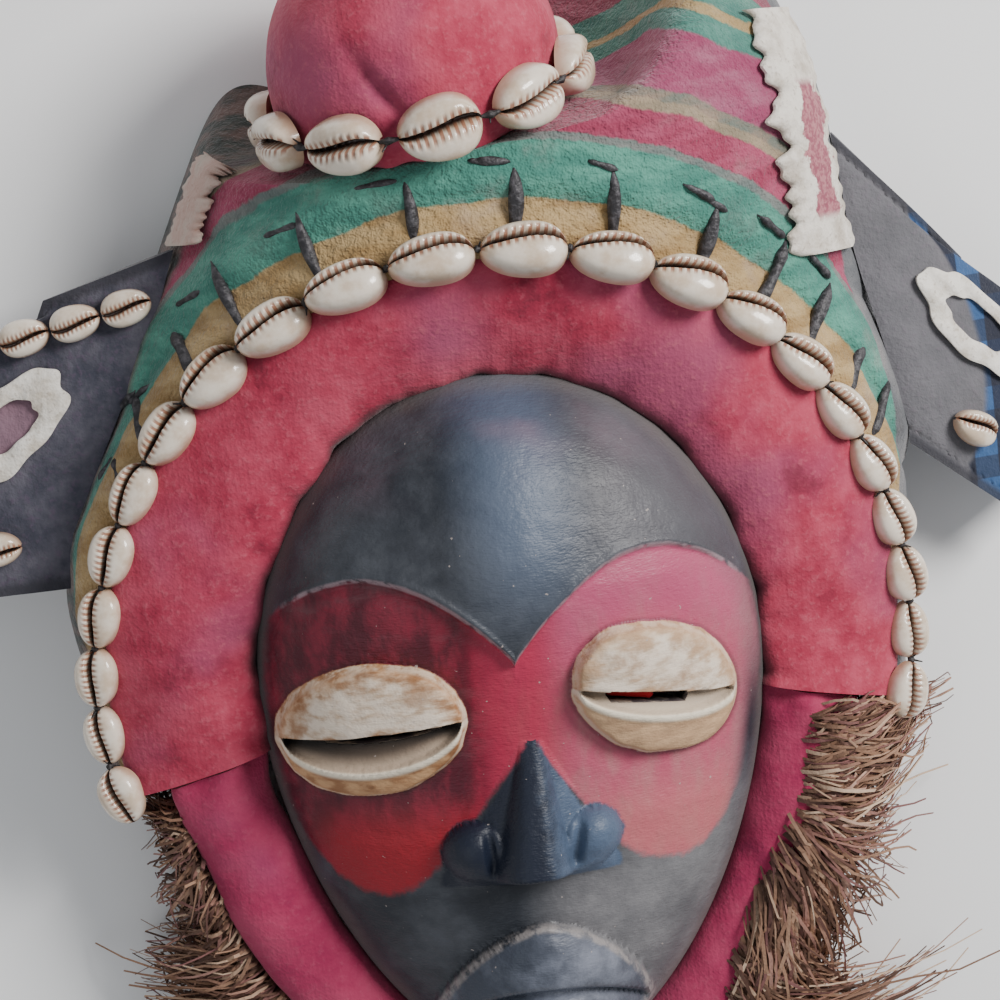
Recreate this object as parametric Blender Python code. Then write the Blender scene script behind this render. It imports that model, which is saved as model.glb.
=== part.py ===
# African mask: a carved wooden face in a cloth hood, lying on its back.
# Metres. +X is the right-hand side as one looks at the face, +Y the crown, +Z out of the face.
import math

import bmesh
import bpy
import numpy as np
from mathutils import Vector

# Gap between pieces that are sewn together, and the stand-off of a flat piece laid on curved cloth
CLEARANCE = 0.0004
LAID_LIFT = 0.0013

# Wooden face
FACE_WIDTH = 0.152
FACE_TOP = 0.086
FACE_CHIN = 0.135
FACE_WIDEST = -0.005
FACE_RIM_HEIGHT = 0.052
FACE_RIM_SLOPE = 0.12
FACE_EDGE_DEPTH = 0.012
FACE_WALL = 0.008
FACE_SIMPLIFY = 0.105
FOREHEAD_RISE = 0.044
FOREHEAD_START = -0.030
FOREHEAD_FULL = 0.030
CHEEK_RISE = 0.036
CHIN_RISE = 0.030
CHIN_START = -0.065
CHIN_FULL = -0.125
FOREHEAD_RIDGE_RISE = 0.0022
FOREHEAD_RIDGE_HALF_WIDTH = 0.013
FOREHEAD_RIDGE_START = 0.010
FOREHEAD_RIDGE_FULL = 0.060
BROW_STEP = 0.0028
BROW_STEP_WIDTH = 0.004
BROW_LEVEL = 0.006
BROW_LIFT = 0.028
BROW_END_DROP = 0.013
EYE_SPREAD = 0.0415
EYE_LEVEL = -0.0105
EYE_SLANT = 0.13
EYE_HALF_LENGTH = 0.0265
EYE_HALF_HEIGHT = 0.0205
EYE_BULGE = 0.0105
EYE_LID_GROOVE = 0.0035
EYE_SOCKET_DEPTH = 0.0035
EYE_SOCKET_HALF_WIDTH = 0.026
EYE_SOCKET_HALF_HEIGHT = 0.036
EYE_SOCKET_EDGE = 0.006
EYE_SLIT_LENGTH = 0.030
EYE_SLIT_HEIGHT = 0.0034
NOSE_TOP = -0.018
NOSE_BASE = -0.0575
NOSE_RISE = 0.0160
NOSE_HALF_WIDTH = 0.0130
NOSE_TOP_HALF_WIDTH = 0.0030
NOSE_LEAN_LEFT = 0.0028
NOSE_FLANK_SHARE = 0.50
NOSTRIL_SPREAD = 0.0175
NOSTRIL_RADIUS = 0.0090
NOSTRIL_LIFT = 0.0070
NOSTRIL_RISE = 0.0080
MOUTH_MIDDLE = -0.0020
MOUTH_LEVEL = -0.0965
MOUTH_HALF_WIDTH = 0.035
MOUTH_HALF_HEIGHT = 0.021
MOUTH_CORNER_DROP = 0.0147
MOUTH_CORNER_THINNING = 0.15
LIP_RISE = 0.0105
LIP_PARTING = 0.0045
LIP_PARTING_HALF_WIDTH = 0.0030

# Cap, whose front borders the face opening at each side
CAP_OPENING_RADIUS = 0.118
CAP_SIDE_BORDER = 0.0120
CAP_SKIRT_BORDER = 0.0045
CAP_HALF_WIDTH = CAP_OPENING_RADIUS + CAP_SIDE_BORDER
CAP_SKIRT_HALF_WIDTH = CAP_OPENING_RADIUS + CAP_SKIRT_BORDER
CAP_SHOULDER = 0.050
CAP_CROWN = 0.215
CAP_SKIRT = -0.032
CAP_SIDE_HEIGHT = 0.060
CAP_CROWN_HEIGHT = 0.100
CAP_LEAN = 0.16
CAP_LEAN_START = 0.030
CAP_TAPER = 0.40
CAP_SQUARE_BELOW = 0.010
CAP_ROUND_ABOVE = 0.120
CAP_WALL = 0.0035

# Face band and jaw roll
BAND_END_DEG = -14.0
BAND_THICKNESS = 0.010
BAND_PUFF = 0.006
BAND_INNER_RISE = 0.002
BAND_OUTER_DROP = 0.001
JAW_ROLL_WIDTH = 0.030
JAW_ROLL_THICKNESS = 0.018

# Beard
BEARD_REACH_CHIN = 0.045
BEARD_REACH_LEFT = 0.015
BEARD_REACH_RIGHT = 0.030
BEARD_TUFTS = 30
BEARD_TUFT_DEPTH = 0.007
BEARD_THICKNESS = 0.014

# Topknot
KNOT_RADIUS = 0.042
KNOT_SEAT = (-0.007, 0.157, 0.0515)
KNOT_LEAN_LEFT_DEG = 8.0
KNOT_LEAN_FRONT_DEG = 14.0
KNOT_RISE = 0.019
KNOT_PLUG_DEPTH = 0.014

# Cowrie shells
BROW_SHELL_LENGTH = 0.0240
SIDE_SHELL_LENGTH = 0.0170
KNOT_SHELL_LENGTH = 0.0235
EAR_SHELL_LENGTH = 0.0150
SHELL_WIDTH_SHARE = 0.72
SHELL_HEIGHT_SHARE = 0.38
SHELL_SPACING = 1.02
RIM_SHELL_END_DEG = -13.0
RIM_SHELL_OFFSET = 0.0025

# Ears and hide
EAR_REACH = 0.068
EAR_LENGTH = 0.096
EAR_BOTTOM_LEFT = 0.034
EAR_BOTTOM_RIGHT = 0.046
EAR_LEVEL = 0.034
EAR_THICKNESS = 0.007
EAR_DROOP_LEFT = 0.008
EAR_DROOP_RIGHT = 0.024
EAR_SLANT_LEFT = 0.000
EAR_SLANT_RIGHT = 0.032
EAR_TOP_FALL = 0.11
EAR_SHELL_ROW_UP = 0.86
EAR_LOW_SHELL_UP = 0.16
EAR_LOW_SHELL_OUT = 0.40
LOOP_MIDDLE_OUT = 0.52
LOOP_MIDDLE_UP = 0.55
LOOP_HOLE_OUT = 0.15
LOOP_HOLE_UP = 0.085
LOOP_RIM_OUT = 0.27
LOOP_RIM_UP = 0.175
HIDE_THICKNESS = 0.0024
HIDE_LENGTH_LEFT = 0.030
HIDE_LENGTH_RIGHT = 0.072
HIDE_PLACE_LEFT_DEG = 24.0
HIDE_PLACE_RIGHT_DEG = 36.0
HIDE_RIGHT_BOTTOM = 0.108

# Colours and finishes: name, colour, roughness
BLACK_WOOD = ("painted_wood", (0.055, 0.065, 0.085), 0.45)
RED_CLOTH = ("red_cloth", (0.42, 0.045, 0.075), 0.9)
STRIPED_CLOTH = ("striped_cloth", (0.30, 0.12, 0.13), 0.9)
GREY_CLOTH = ("grey_cloth", (0.16, 0.16, 0.19), 0.9)
HIDE = ("cream_hide", (0.62, 0.55, 0.48), 0.8)
SHELL = ("cowrie_shell", (0.80, 0.72, 0.62), 0.25)
RAFFIA = ("raffia", (0.36, 0.25, 0.17), 0.9)


def smooth_step(value):
    value = np.clip(value, 0.0, 1.0)
    return value * value * (3 - 2 * value)


# Meshes


def finish_body(name, mesh, finish, smooth_deg=40):
    """Puts a mesh in the scene as one named piece with its own material."""
    colour_name, colour, roughness = finish
    bm = bmesh.new()
    bm.from_mesh(mesh)
    bmesh.ops.remove_doubles(bm, verts=bm.verts, dist=1e-7)
    bmesh.ops.dissolve_degenerate(bm, edges=bm.edges, dist=1e-7)
    bmesh.ops.triangulate(bm, faces=bm.faces)
    bmesh.ops.recalc_face_normals(bm, faces=bm.faces)
    bm.to_mesh(mesh)
    bm.free()
    mesh.shade_smooth()
    mesh.set_sharp_from_angle(angle=math.radians(smooth_deg))
    material = bpy.data.materials.new(f"{name}_{colour_name}")
    material.use_nodes = True
    shader = material.node_tree.nodes["Principled BSDF"]
    shader.inputs["Base Color"].default_value = (*colour, 1)
    shader.inputs["Roughness"].default_value = roughness
    mesh.materials.append(material)
    piece = bpy.data.objects.new(name, mesh)
    bpy.context.scene.collection.objects.link(piece)
    return piece


def sheet_quads(rows, columns, start, wrap):
    """The quads of a grid of points numbered row by row from start."""
    last = columns if wrap else columns - 1
    return [
        (
            start + i * columns + j,
            start + i * columns + (j + 1) % columns,
            start + (i + 1) * columns + (j + 1) % columns,
            start + (i + 1) * columns + j,
        )
        for i in range(rows - 1)
        for j in range(last)
    ]


def border_ring(rows, columns):
    """The numbers of a grid's border points, once round."""
    border = [(0, j) for j in range(columns)]
    border += [(i, columns - 1) for i in range(1, rows)]
    border += [(rows - 1, j) for j in range(columns - 2, -1, -1)]
    border += [(i, 0) for i in range(rows - 2, 0, -1)]
    return [i * columns + j for i, j in border]


def slab_mesh(name, front, back):
    """One closed body between two grids of points that share their borders' count."""
    rows, columns = front.shape[:2]
    size = rows * columns
    faces = sheet_quads(rows, columns, 0, False)
    faces += [quad[::-1] for quad in sheet_quads(rows, columns, size, False)]
    ring = border_ring(rows, columns)
    faces += [(b, a, a + size, b + size) for a, b in zip(ring, ring[1:] + ring[:1])]
    points = np.concatenate([front.reshape(-1, 3), back.reshape(-1, 3)])
    mesh = bpy.data.meshes.new(name)
    mesh.from_pydata(points.tolist(), [], faces)
    return mesh


def tube_mesh(name, sections):
    """One closed body through a row of closed sections, with flat ends."""
    rows, columns = sections.shape[:2]
    faces = sheet_quads(rows, columns, 0, True)
    faces += [tuple(range(columns))[::-1]]
    faces += [tuple(range((rows - 1) * columns, rows * columns))]
    mesh = bpy.data.meshes.new(name)
    mesh.from_pydata(sections.reshape(-1, 3).tolist(), [], faces)
    return mesh


def dish_mesh(name, outer, outer_pole, inner, inner_pole):
    """One closed dish: rings of points from the pole out to the rim, outside and inside."""
    rings, columns = outer.shape[:2]
    inner_start = rings * columns
    points = [outer.reshape(-1, 3), inner.reshape(-1, 3), [outer_pole, inner_pole]]
    outer_centre = inner_start + inner.shape[0] * columns
    faces = sheet_quads(rings, columns, 0, True)
    faces += sheet_quads(inner.shape[0], columns, inner_start, True)
    rim = (rings - 1) * columns
    inner_rim = inner_start + (inner.shape[0] - 1) * columns
    for j in range(columns):
        after = (j + 1) % columns
        faces.append((outer_centre, j, after))
        faces.append((outer_centre + 1, inner_start + j, inner_start + after))
        faces.append((rim + j, rim + after, inner_rim + after, inner_rim + j))
    mesh = bpy.data.meshes.new(name)
    mesh.from_pydata(np.concatenate(points).tolist(), [], faces)
    return mesh


def cut(piece, name, mesh):
    """Cuts a closed mesh out of a piece."""
    bm = bmesh.new()
    bm.from_mesh(mesh)
    bmesh.ops.recalc_face_normals(bm, faces=bm.faces)
    bm.to_mesh(mesh)
    bm.free()
    cutter = bpy.data.objects.new(name, mesh)
    bpy.context.scene.collection.objects.link(cutter)
    cutter.hide_render = True
    cutter.display_type = "WIRE"
    modifier = piece.modifiers.new(name, "BOOLEAN")
    modifier.operation = "DIFFERENCE"
    modifier.solver = "EXACT"
    modifier.object = cutter


# Wooden face


def face_radius(angle):
    """Distance from the face's middle to its egg-shaped outline, at an angle from +X."""
    x = np.cos(angle)
    y = np.sin(angle)
    half = FACE_WIDTH / 2
    upper = FACE_TOP - FACE_WIDEST
    lower = FACE_CHIN + FACE_WIDEST
    over = (np.abs(x / half) ** 2 + np.abs(y / upper) ** 2) ** -0.5
    under = (np.abs(x / half) ** 1.75 + np.abs(y / lower) ** 1.75) ** (-1 / 1.75)
    return np.where(y >= 0, over, under)


def face_outline(angle, grow=0.0):
    """Points of the outline, grown outward, in X and Y."""
    radius = face_radius(angle) + grow
    return radius * np.cos(angle), FACE_WIDEST + radius * np.sin(angle)


def face_rim_height(y):
    return FACE_RIM_HEIGHT + FACE_RIM_SLOPE * y


def face_share(x, y):
    """0 at the face's middle, 1 on its outline."""
    dy = y - FACE_WIDEST
    return np.hypot(x, dy) / face_radius(np.arctan2(dy, x))


def face_dome(x, y):
    """The smooth body of the face, before its features are carved."""
    up = smooth_step((y - FOREHEAD_START) / (FOREHEAD_FULL - FOREHEAD_START))
    down = smooth_step((CHIN_START - y) / (CHIN_START - CHIN_FULL))
    rise = CHEEK_RISE + (FOREHEAD_RISE - CHEEK_RISE) * up
    rise = rise + (CHIN_RISE - CHEEK_RISE) * down
    share = np.clip(face_share(x, y), 0, 1)
    return face_rim_height(y) + rise * (1 - share**2.5) ** 0.62


def brow_line(x):
    """Height up the face of the carved brow edge: two arches that meet in a V."""
    across = np.abs(x)
    arch = np.sin(np.pi / 2 * np.clip(across / EYE_SPREAD, 0, 1)) ** 0.85
    beyond = np.maximum(across - EYE_SPREAD, 0) / (FACE_WIDTH / 2 - EYE_SPREAD)
    return BROW_LEVEL + BROW_LIFT * arch - BROW_END_DROP * beyond**2


def oval(x, y, centre_x, centre_y, half_x, half_y):
    """1 at the middle of an oval, 0 at its edge and beyond."""
    out = ((x - centre_x) / half_x) ** 2 + ((y - centre_y) / half_y) ** 2
    return np.clip(1 - out, 0, 1)


def face_surface(x, y):
    """Height of the carved face, with brows, eyes, nose and lips."""
    across = np.abs(x)
    share = np.clip(face_share(x, y), 0, 1)
    inside = 1 - smooth_step((share - 0.80) / 0.18)
    z = face_dome(x, y)
    z = z + BROW_STEP * smooth_step((y - brow_line(x)) / BROW_STEP_WIDTH + 0.5) * inside
    ridge_share = (y - FOREHEAD_RIDGE_START) / (FOREHEAD_RIDGE_FULL - FOREHEAD_RIDGE_START)
    ridge = np.exp(-((x / FOREHEAD_RIDGE_HALF_WIDTH) ** 2)) * smooth_step(ridge_share)
    z = z + FOREHEAD_RIDGE_RISE * ridge * inside
    socket = np.clip(1 - ((y - EYE_LEVEL) / EYE_SOCKET_HALF_HEIGHT) ** 2, 0, 1)
    socket = socket * np.exp(-(((across - EYE_SPREAD) / EYE_SOCKET_HALF_WIDTH) ** 2))
    z = z - EYE_SOCKET_DEPTH * socket * smooth_step((brow_line(x) - y) / EYE_SOCKET_EDGE)
    level = EYE_LEVEL - EYE_SLANT * (across - EYE_SPREAD)
    eye = oval(across, y, EYE_SPREAD, level, EYE_HALF_LENGTH, EYE_HALF_HEIGHT)
    groove = np.exp(-(((y - level) / (0.75 * EYE_SLIT_HEIGHT)) ** 2)) * np.clip(2.2 * eye, 0, 1)
    lid = 0.30 * smooth_step(4 * eye) + 0.70 * eye**0.65
    z = z + EYE_BULGE * lid - EYE_LID_GROOVE * groove
    along = np.clip((NOSE_TOP - y) / (NOSE_TOP - NOSE_BASE), 0, 1)
    half = NOSE_TOP_HALF_WIDTH + (NOSE_HALF_WIDTH - NOSE_TOP_HALF_WIDTH) * along
    under = 1 - smooth_step((NOSE_BASE - y) / NOSTRIL_LIFT)
    off_ridge = np.abs(x + NOSE_LEAN_LEFT * along)
    bridge = np.clip(1 - (off_ridge / half) ** 2, 0, 1) ** 0.8
    flank_half = half + (NOSTRIL_SPREAD + 0.8 * NOSTRIL_RADIUS - NOSE_HALF_WIDTH) * along
    flank = NOSE_FLANK_SHARE * along * np.clip(1 - (off_ridge / flank_half) ** 2, 0, 1)
    nose = NOSE_RISE * np.maximum(along**0.9 * bridge, flank) * under * (y < NOSE_TOP)
    wing = oval(off_ridge, y, NOSTRIL_SPREAD, NOSE_BASE + NOSTRIL_LIFT, NOSTRIL_RADIUS, NOSTRIL_RADIUS)
    nose = np.maximum(nose, NOSTRIL_RISE * wing**0.5)
    off_middle = x - MOUTH_MIDDLE
    lip_line = MOUTH_LEVEL - MOUTH_CORNER_DROP * (off_middle / MOUTH_HALF_WIDTH) ** 2
    lip_height = MOUTH_HALF_HEIGHT - MOUTH_CORNER_THINNING * np.abs(off_middle)
    lips = oval(off_middle, y, 0, lip_line, MOUTH_HALF_WIDTH, lip_height)
    parting = np.exp(-(((y - lip_line) / LIP_PARTING_HALF_WIDTH) ** 2)) * np.clip(3 * lips, 0, 1)
    mouth = LIP_RISE * lips**0.6 - LIP_PARTING * parting
    return z + np.maximum(nose, mouth)


def make_wooden_face():
    angles = np.linspace(0, 2 * np.pi, 144, endpoint=False)
    x_rim, y_rim = face_outline(angles)
    shares = np.linspace(0, 1, 81)[1:]
    x = shares[:, None] * x_rim
    y = FACE_WIDEST + shares[:, None] * (y_rim - FACE_WIDEST)
    outer = np.stack([x, y, face_surface(x, y)], -1)
    edge = outer[-1:] - (0, 0, FACE_EDGE_DEPTH)
    outer = np.concatenate([outer, edge])
    outer_pole = (0, FACE_WIDEST, float(face_surface(np.array(0.0), np.array(FACE_WIDEST))))
    x_in, y_in = face_outline(angles, -FACE_WALL)
    inner_shares = np.linspace(0, 1, 13)[1:]
    x = inner_shares[:, None] * x_in
    y = FACE_WIDEST + inner_shares[:, None] * (y_in - FACE_WIDEST)
    inner = np.stack([x, y, face_dome(x, y) - FACE_WALL], -1)
    inner[-1, :, 2] = edge[0, :, 2]
    inner_pole = (0, FACE_WIDEST, float(face_dome(np.array(0.0), np.array(FACE_WIDEST))) - FACE_WALL)
    mesh = dish_mesh("wooden_face", outer, outer_pole, inner, inner_pole)
    piece = finish_body("wooden_face", mesh, BLACK_WOOD)
    simpler = piece.modifiers.new("fewer_faces", "DECIMATE")
    simpler.ratio = FACE_SIMPLIFY
    for side, label in ((-1, "left"), (1, "right")):
        cut(piece, f"eye_slit_{label}", eye_slit_mesh(side))
    return piece


def eye_slit_mesh(side):
    """A lens-shaped slot straight through the face."""
    steps = 7
    along = np.linspace(-1, 1, steps)
    half = EYE_SLIT_HEIGHT / 2 * (1 - 0.85 * along**2)
    x = side * EYE_SPREAD + EYE_SLIT_LENGTH / 2 * along
    level = EYE_LEVEL - EYE_SLANT * EYE_SLIT_LENGTH / 2 * side * along
    low = np.stack([x, level - half], -1)
    high = np.stack([x, level + half], -1)[::-1]
    ring = np.concatenate([low, high])
    depths = (0.0, FACE_RIM_HEIGHT + 2 * FOREHEAD_RISE)
    sections = np.array([[(px, py, z) for px, py in ring] for z in depths])
    return tube_mesh("eye_slit", sections)


# Cap


def cap_middle(y):
    """The cap leans to one side above its shoulders."""
    return CAP_LEAN * np.maximum(y - CAP_LEAN_START, 0)


def cap_half_width(y, inset=0.0):
    share = np.clip((y - CAP_SHOULDER) / (CAP_CROWN - inset - CAP_SHOULDER), 0, 1)
    above = (1 - CAP_TAPER * share) * np.sqrt(1 - share**10)
    low = smooth_step((CAP_SHOULDER - y) / (CAP_SHOULDER - CAP_SKIRT))
    width = CAP_HALF_WIDTH - (CAP_HALF_WIDTH - CAP_SKIRT_HALF_WIDTH) * low
    return (width - inset) * above


def cap_height(y, inset=0.0):
    share = np.clip((y - CAP_SHOULDER) / (CAP_CROWN - inset - CAP_SHOULDER), 0, 1)
    rise = smooth_step((y - CAP_LEAN_START) / (CAP_CROWN - 2 * CAP_LEAN_START))
    height = CAP_SIDE_HEIGHT + (CAP_CROWN_HEIGHT - CAP_SIDE_HEIGHT) * rise
    return (height - inset) * np.sqrt(1 - share**4)


def cap_squareness(y):
    """The power of the cap's oval cross section: boxy low down, rounder at the crown."""
    share = (y - CAP_SQUARE_BELOW) / (CAP_ROUND_ABOVE - CAP_SQUARE_BELOW)
    return 5.0 - 2.6 * smooth_step(share)


def cap_surface(y, turn, inset=0.0):
    """A point of the cap: turn runs from 0 at the left foot over the front to pi at the right."""
    power = 2 / cap_squareness(y)
    c = np.cos(turn)
    x = cap_middle(y) - cap_half_width(y, inset) * np.sign(c) * np.abs(c) ** power
    z = cap_height(y, inset) * np.abs(np.sin(turn)) ** power
    return seat_dent(np.stack([x, y + 0 * x, z], -1), inset)


def cap_side(y, z, side):
    """X of the cap's outer side at a level."""
    n = cap_squareness(y)
    share = np.clip(z / cap_height(y), 0, 1)
    return cap_middle(y) + side * cap_half_width(y) * (1 - share**n) ** (1 / n)


def cap_front(x, y):
    """Z of the cap's front at a place, before the seat of the topknot is pressed in."""
    n = cap_squareness(y)
    share = np.clip(np.abs(x - cap_middle(y)) / cap_half_width(y), 0, 1)
    return cap_height(y) * (1 - share**n) ** (1 / n)


def make_cap():
    turns = np.linspace(0, np.pi, 25)
    shares = np.linspace(0, 1, 14)
    rows = CAP_SKIRT + (CAP_CROWN - CAP_SKIRT) * np.sin(np.pi / 2 * shares) ** 0.9
    inner_rows = CAP_SKIRT + (CAP_CROWN - CAP_WALL - CAP_SKIRT) * np.sin(np.pi / 2 * shares) ** 0.9
    outer = np.array([cap_surface(y, turns) for y in rows])
    inner = np.array([cap_surface(y, turns, CAP_WALL) for y in inner_rows])
    piece = finish_body("striped_cap", slab_mesh("striped_cap", outer, inner), STRIPED_CLOTH)
    cut(piece, "face_opening", opening_mesh())
    cut(piece, "topknot_hole", topknot_mesh("topknot_hole", CLEARANCE))
    return piece


def opening_mesh():
    """A round bar as wide as the cap's front opening."""
    angles = np.linspace(0, 2 * np.pi, 72, endpoint=False)
    ring = np.stack([np.cos(angles), np.sin(angles)], -1) * CAP_OPENING_RADIUS
    depths = (CAP_SIDE_HEIGHT / 3, 2 * CAP_CROWN_HEIGHT)
    sections = np.array([[(x, y, z) for x, y in ring] for z in depths])
    return tube_mesh("face_opening", sections)


# Topknot


def knot_axis():
    left = math.radians(KNOT_LEAN_LEFT_DEG)
    front = math.radians(KNOT_LEAN_FRONT_DEG)
    axis = Vector((-math.sin(left), math.cos(left), math.tan(front)))
    return axis.normalized()


def knot_frame():
    """Axes with the third one up the topknot and the second towards the front."""
    up = knot_axis()
    across = up.cross(Vector((0, 0, 1))).normalized()
    front = across.cross(up)
    return np.array(across), np.array(front), np.array(up)


def knot_ring_radius():
    return math.sqrt(KNOT_RADIUS**2 - KNOT_RISE**2)


def seat_dent(points, inset):
    """Presses the cloth down to a flat seat round the topknot's foot."""
    up = np.array(knot_axis())
    offset = points - np.array(KNOT_SEAT) + up * inset
    height = offset @ up
    slid = offset - (height / up[1])[..., None] * np.array((0, 1, 0))
    radial = np.linalg.norm(slid, axis=-1)
    reach = KNOT_RADIUS + KNOT_SHELL_LENGTH / 2
    near = 1 - smooth_step((radial - reach) / (0.6 * reach))
    dented = points.copy()
    dented[..., 1] -= np.maximum(height, 0) * near / up[1]
    return dented


def topknot_mesh(name, grow):
    """A ball with a short plug below it, turned about the topknot's axis."""
    low = math.asin(-KNOT_RISE / KNOT_RADIUS)
    arc = np.linspace(low, math.pi / 2, 9)
    foot = 2 * CLEARANCE - grow
    plug = knot_ring_radius() - KNOT_PLUG_DEPTH / 4
    radii = [plug, plug] + list(KNOT_RADIUS * np.cos(arc[:-1]))
    heights = [-KNOT_PLUG_DEPTH, foot] + list(foot + KNOT_RISE + KNOT_RADIUS * np.sin(arc[:-1]))
    radii = np.array(radii) + grow
    heights = np.array(heights)
    across, front, up = knot_frame()
    turns = np.linspace(0, 2 * np.pi, 24, endpoint=False)
    spokes = np.cos(turns)[:, None] * across + np.sin(turns)[:, None] * front
    seat = np.array(KNOT_SEAT)
    rings = seat + radii[:, None, None] * spokes + (heights[:, None] * up)[:, None]
    top = seat + (foot + KNOT_RISE + KNOT_RADIUS + 2 * grow) * up
    bottom = seat - (KNOT_PLUG_DEPTH + grow) * up
    rings[0] = rings[0] - grow * up
    columns = len(turns)
    points = np.concatenate([rings.reshape(-1, 3), [top, bottom]])
    faces = sheet_quads(len(radii), columns, 0, True)
    crown = (len(radii) - 1) * columns
    for j in range(columns):
        after = (j + 1) % columns
        faces.append((len(points) - 2, crown + j, crown + after))
        faces.append((len(points) - 1, after, j))
    mesh = bpy.data.meshes.new(name)
    mesh.from_pydata(points.tolist(), [], faces)
    return mesh


def make_topknot():
    return finish_body("topknot", topknot_mesh("topknot", 0.0), RED_CLOTH)


# Cowrie shells


def shell_mesh(name, place, along, normal, length):
    """A cowrie, slit side out, on a flat base: grooved, wider at one end."""
    along = along / np.linalg.norm(along)
    across = np.cross(normal, along)
    half = length / 2
    width = half * SHELL_WIDTH_SHARE
    height = length * SHELL_HEIGHT_SHARE
    stations = np.array([-0.985, -0.78, -0.30, 0.30, 0.78, 0.985])
    spread = np.sqrt(1 - np.abs(stations) ** 2.2) * (1 + 0.10 * stations)
    sides = np.array([-1.0, -0.62, 0.0, 0.62, 1.0])
    rises = np.array([0.0, 0.95, 0.74, 0.95, 0.0])
    top = place + (
        stations[:, None, None] * along * half
        + (spread[:, None] * sides)[..., None] * across * width
        + (spread[:, None] ** 0.6 * rises)[..., None] * normal * height
    )
    rows, columns = top.shape[:2]
    faces = sheet_quads(rows, columns, 0, False)
    faces.append(tuple(border_ring(rows, columns)))
    top[0, :, :] -= normal * ((top[0] - place) @ normal)[:, None]
    top[-1, :, :] -= normal * ((top[-1] - place) @ normal)[:, None]
    mesh = bpy.data.meshes.new(name)
    mesh.from_pydata(top.reshape(-1, 3).tolist(), [], faces)
    return mesh


def sew_shell(name, place, along, normal, length):
    place = np.array(place)
    normal = np.array(normal) / np.linalg.norm(normal)
    along = np.array(along)
    along = along - normal * (along @ normal)
    return finish_body(name, shell_mesh(name, place, along, normal, length), SHELL, 50)


def rim_point(angle, radius):
    """A point of the cap's front at an angle round the opening."""
    x, y = radius * math.cos(angle), radius * math.sin(angle)
    return np.array((x, y, float(cap_front(np.array(x), np.array(y)))))


def rim_shell_length(angle):
    """The shells over the brow are longer than those down the sides."""
    upward = max(0.0, math.sin(angle)) ** 2
    return SIDE_SHELL_LENGTH + (BROW_SHELL_LENGTH - SIDE_SHELL_LENGTH) * upward


def rim_shell_angles():
    """Places along the rim, as many as its length takes at the shells' own lengths."""
    first = math.radians(RIM_SHELL_END_DEG)
    fine = np.linspace(first, math.pi - first, 361)
    rim = np.array([rim_point(angle, CAP_OPENING_RADIUS) for angle in fine])
    steps = np.linalg.norm(np.diff(rim, axis=0), axis=1)
    middles = (fine[1:] + fine[:-1]) / 2
    shares = steps / np.array([SHELL_SPACING * rim_shell_length(a) for a in middles])
    counted = np.concatenate([[0], np.cumsum(shares)])
    spaces = int(counted[-1])
    return np.interp(np.linspace(0, counted[-1], spaces + 1), counted, fine)


def cloth_under(x, y):
    """Height of the cloth along the rim: the cap outside its opening, the face band inside."""
    radius = math.hypot(x, y)
    angle = math.atan2(y, x)
    if angle < -math.pi / 2:
        angle += 2 * math.pi
    if radius >= CAP_OPENING_RADIUS:
        return float(cap_front(np.array(x), np.array(y)))
    inner, outer, low, high = band_edges(angle)
    share = np.clip((radius - inner) / (outer - inner), 0, 1)
    return float(band_rise(share, low, high))


def make_rim_shells():
    for number, angle in enumerate(reversed(list(rim_shell_angles())), 1):
        length = rim_shell_length(angle)
        edge = rim_point(angle, CAP_OPENING_RADIUS + RIM_SHELL_OFFSET)
        tilt = 0.35 + 0.10 * max(0.0, math.sin(angle))
        normal = np.array((math.cos(angle) * tilt, math.sin(angle) * tilt, 1.0))
        normal = normal / np.linalg.norm(normal)
        along = rim_point(angle - 0.04, CAP_OPENING_RADIUS) - rim_point(angle + 0.04, CAP_OPENING_RADIUS)
        along = along - normal * (along @ normal)
        along = along / np.linalg.norm(along)
        lift = shell_lift(edge, along, normal, length)
        sew_shell(f"rim_cowrie_{number:02d}", edge + normal * lift, along, normal, length)


def shell_lift(edge, along, normal, length):
    """How far a flat-based shell stands off the curved cloth under it."""
    across = np.cross(normal, along)
    half = length / 2
    lift = 0.0
    for a in np.linspace(-1, 1, 7):
        width = half * SHELL_WIDTH_SHARE * math.sqrt(1 - min(1.0, abs(a) ** 2.2) * 0.9)
        for s in np.linspace(-1, 1, 7):
            spot = edge + along * half * a + across * width * s
            lift = max(lift, (cloth_under(spot[0], spot[1]) - spot[2]) * normal[2])
    return lift + LAID_LIFT


def make_knot_shells():
    across, front, up = knot_frame()
    seat = np.array(KNOT_SEAT)
    spacing = SHELL_SPACING * KNOT_SHELL_LENGTH
    count = int(math.pi / math.asin(spacing / 2 / (KNOT_RADIUS + CLEARANCE)))
    half_width = KNOT_SHELL_LENGTH / 2 * SHELL_WIDTH_SHARE
    for number in range(count):
        turn = 2 * math.pi * (number + 0.5) / count
        spoke = math.cos(turn) * across + math.sin(turn) * front
        tangent = -math.sin(turn) * across + math.cos(turn) * front
        place = seat + spoke * (KNOT_RADIUS + CLEARANCE) + up * (half_width * 1.1 + 3 * CLEARANCE)
        sew_shell(f"knot_cowrie_{number + 1:02d}", place, tangent, spoke, KNOT_SHELL_LENGTH)


# Face band and jaw roll


def outline_reach(angle):
    """Distance from the frame's middle to the face's outline along an angle."""
    outline_angles = np.linspace(0, 2 * np.pi, 721)
    x, y = face_outline(outline_angles)
    around = np.unwrap(np.arctan2(y, x))
    target = (angle - around[0]) % (2 * math.pi) + around[0]
    return float(np.interp(target, around, np.hypot(x, y)))


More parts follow.
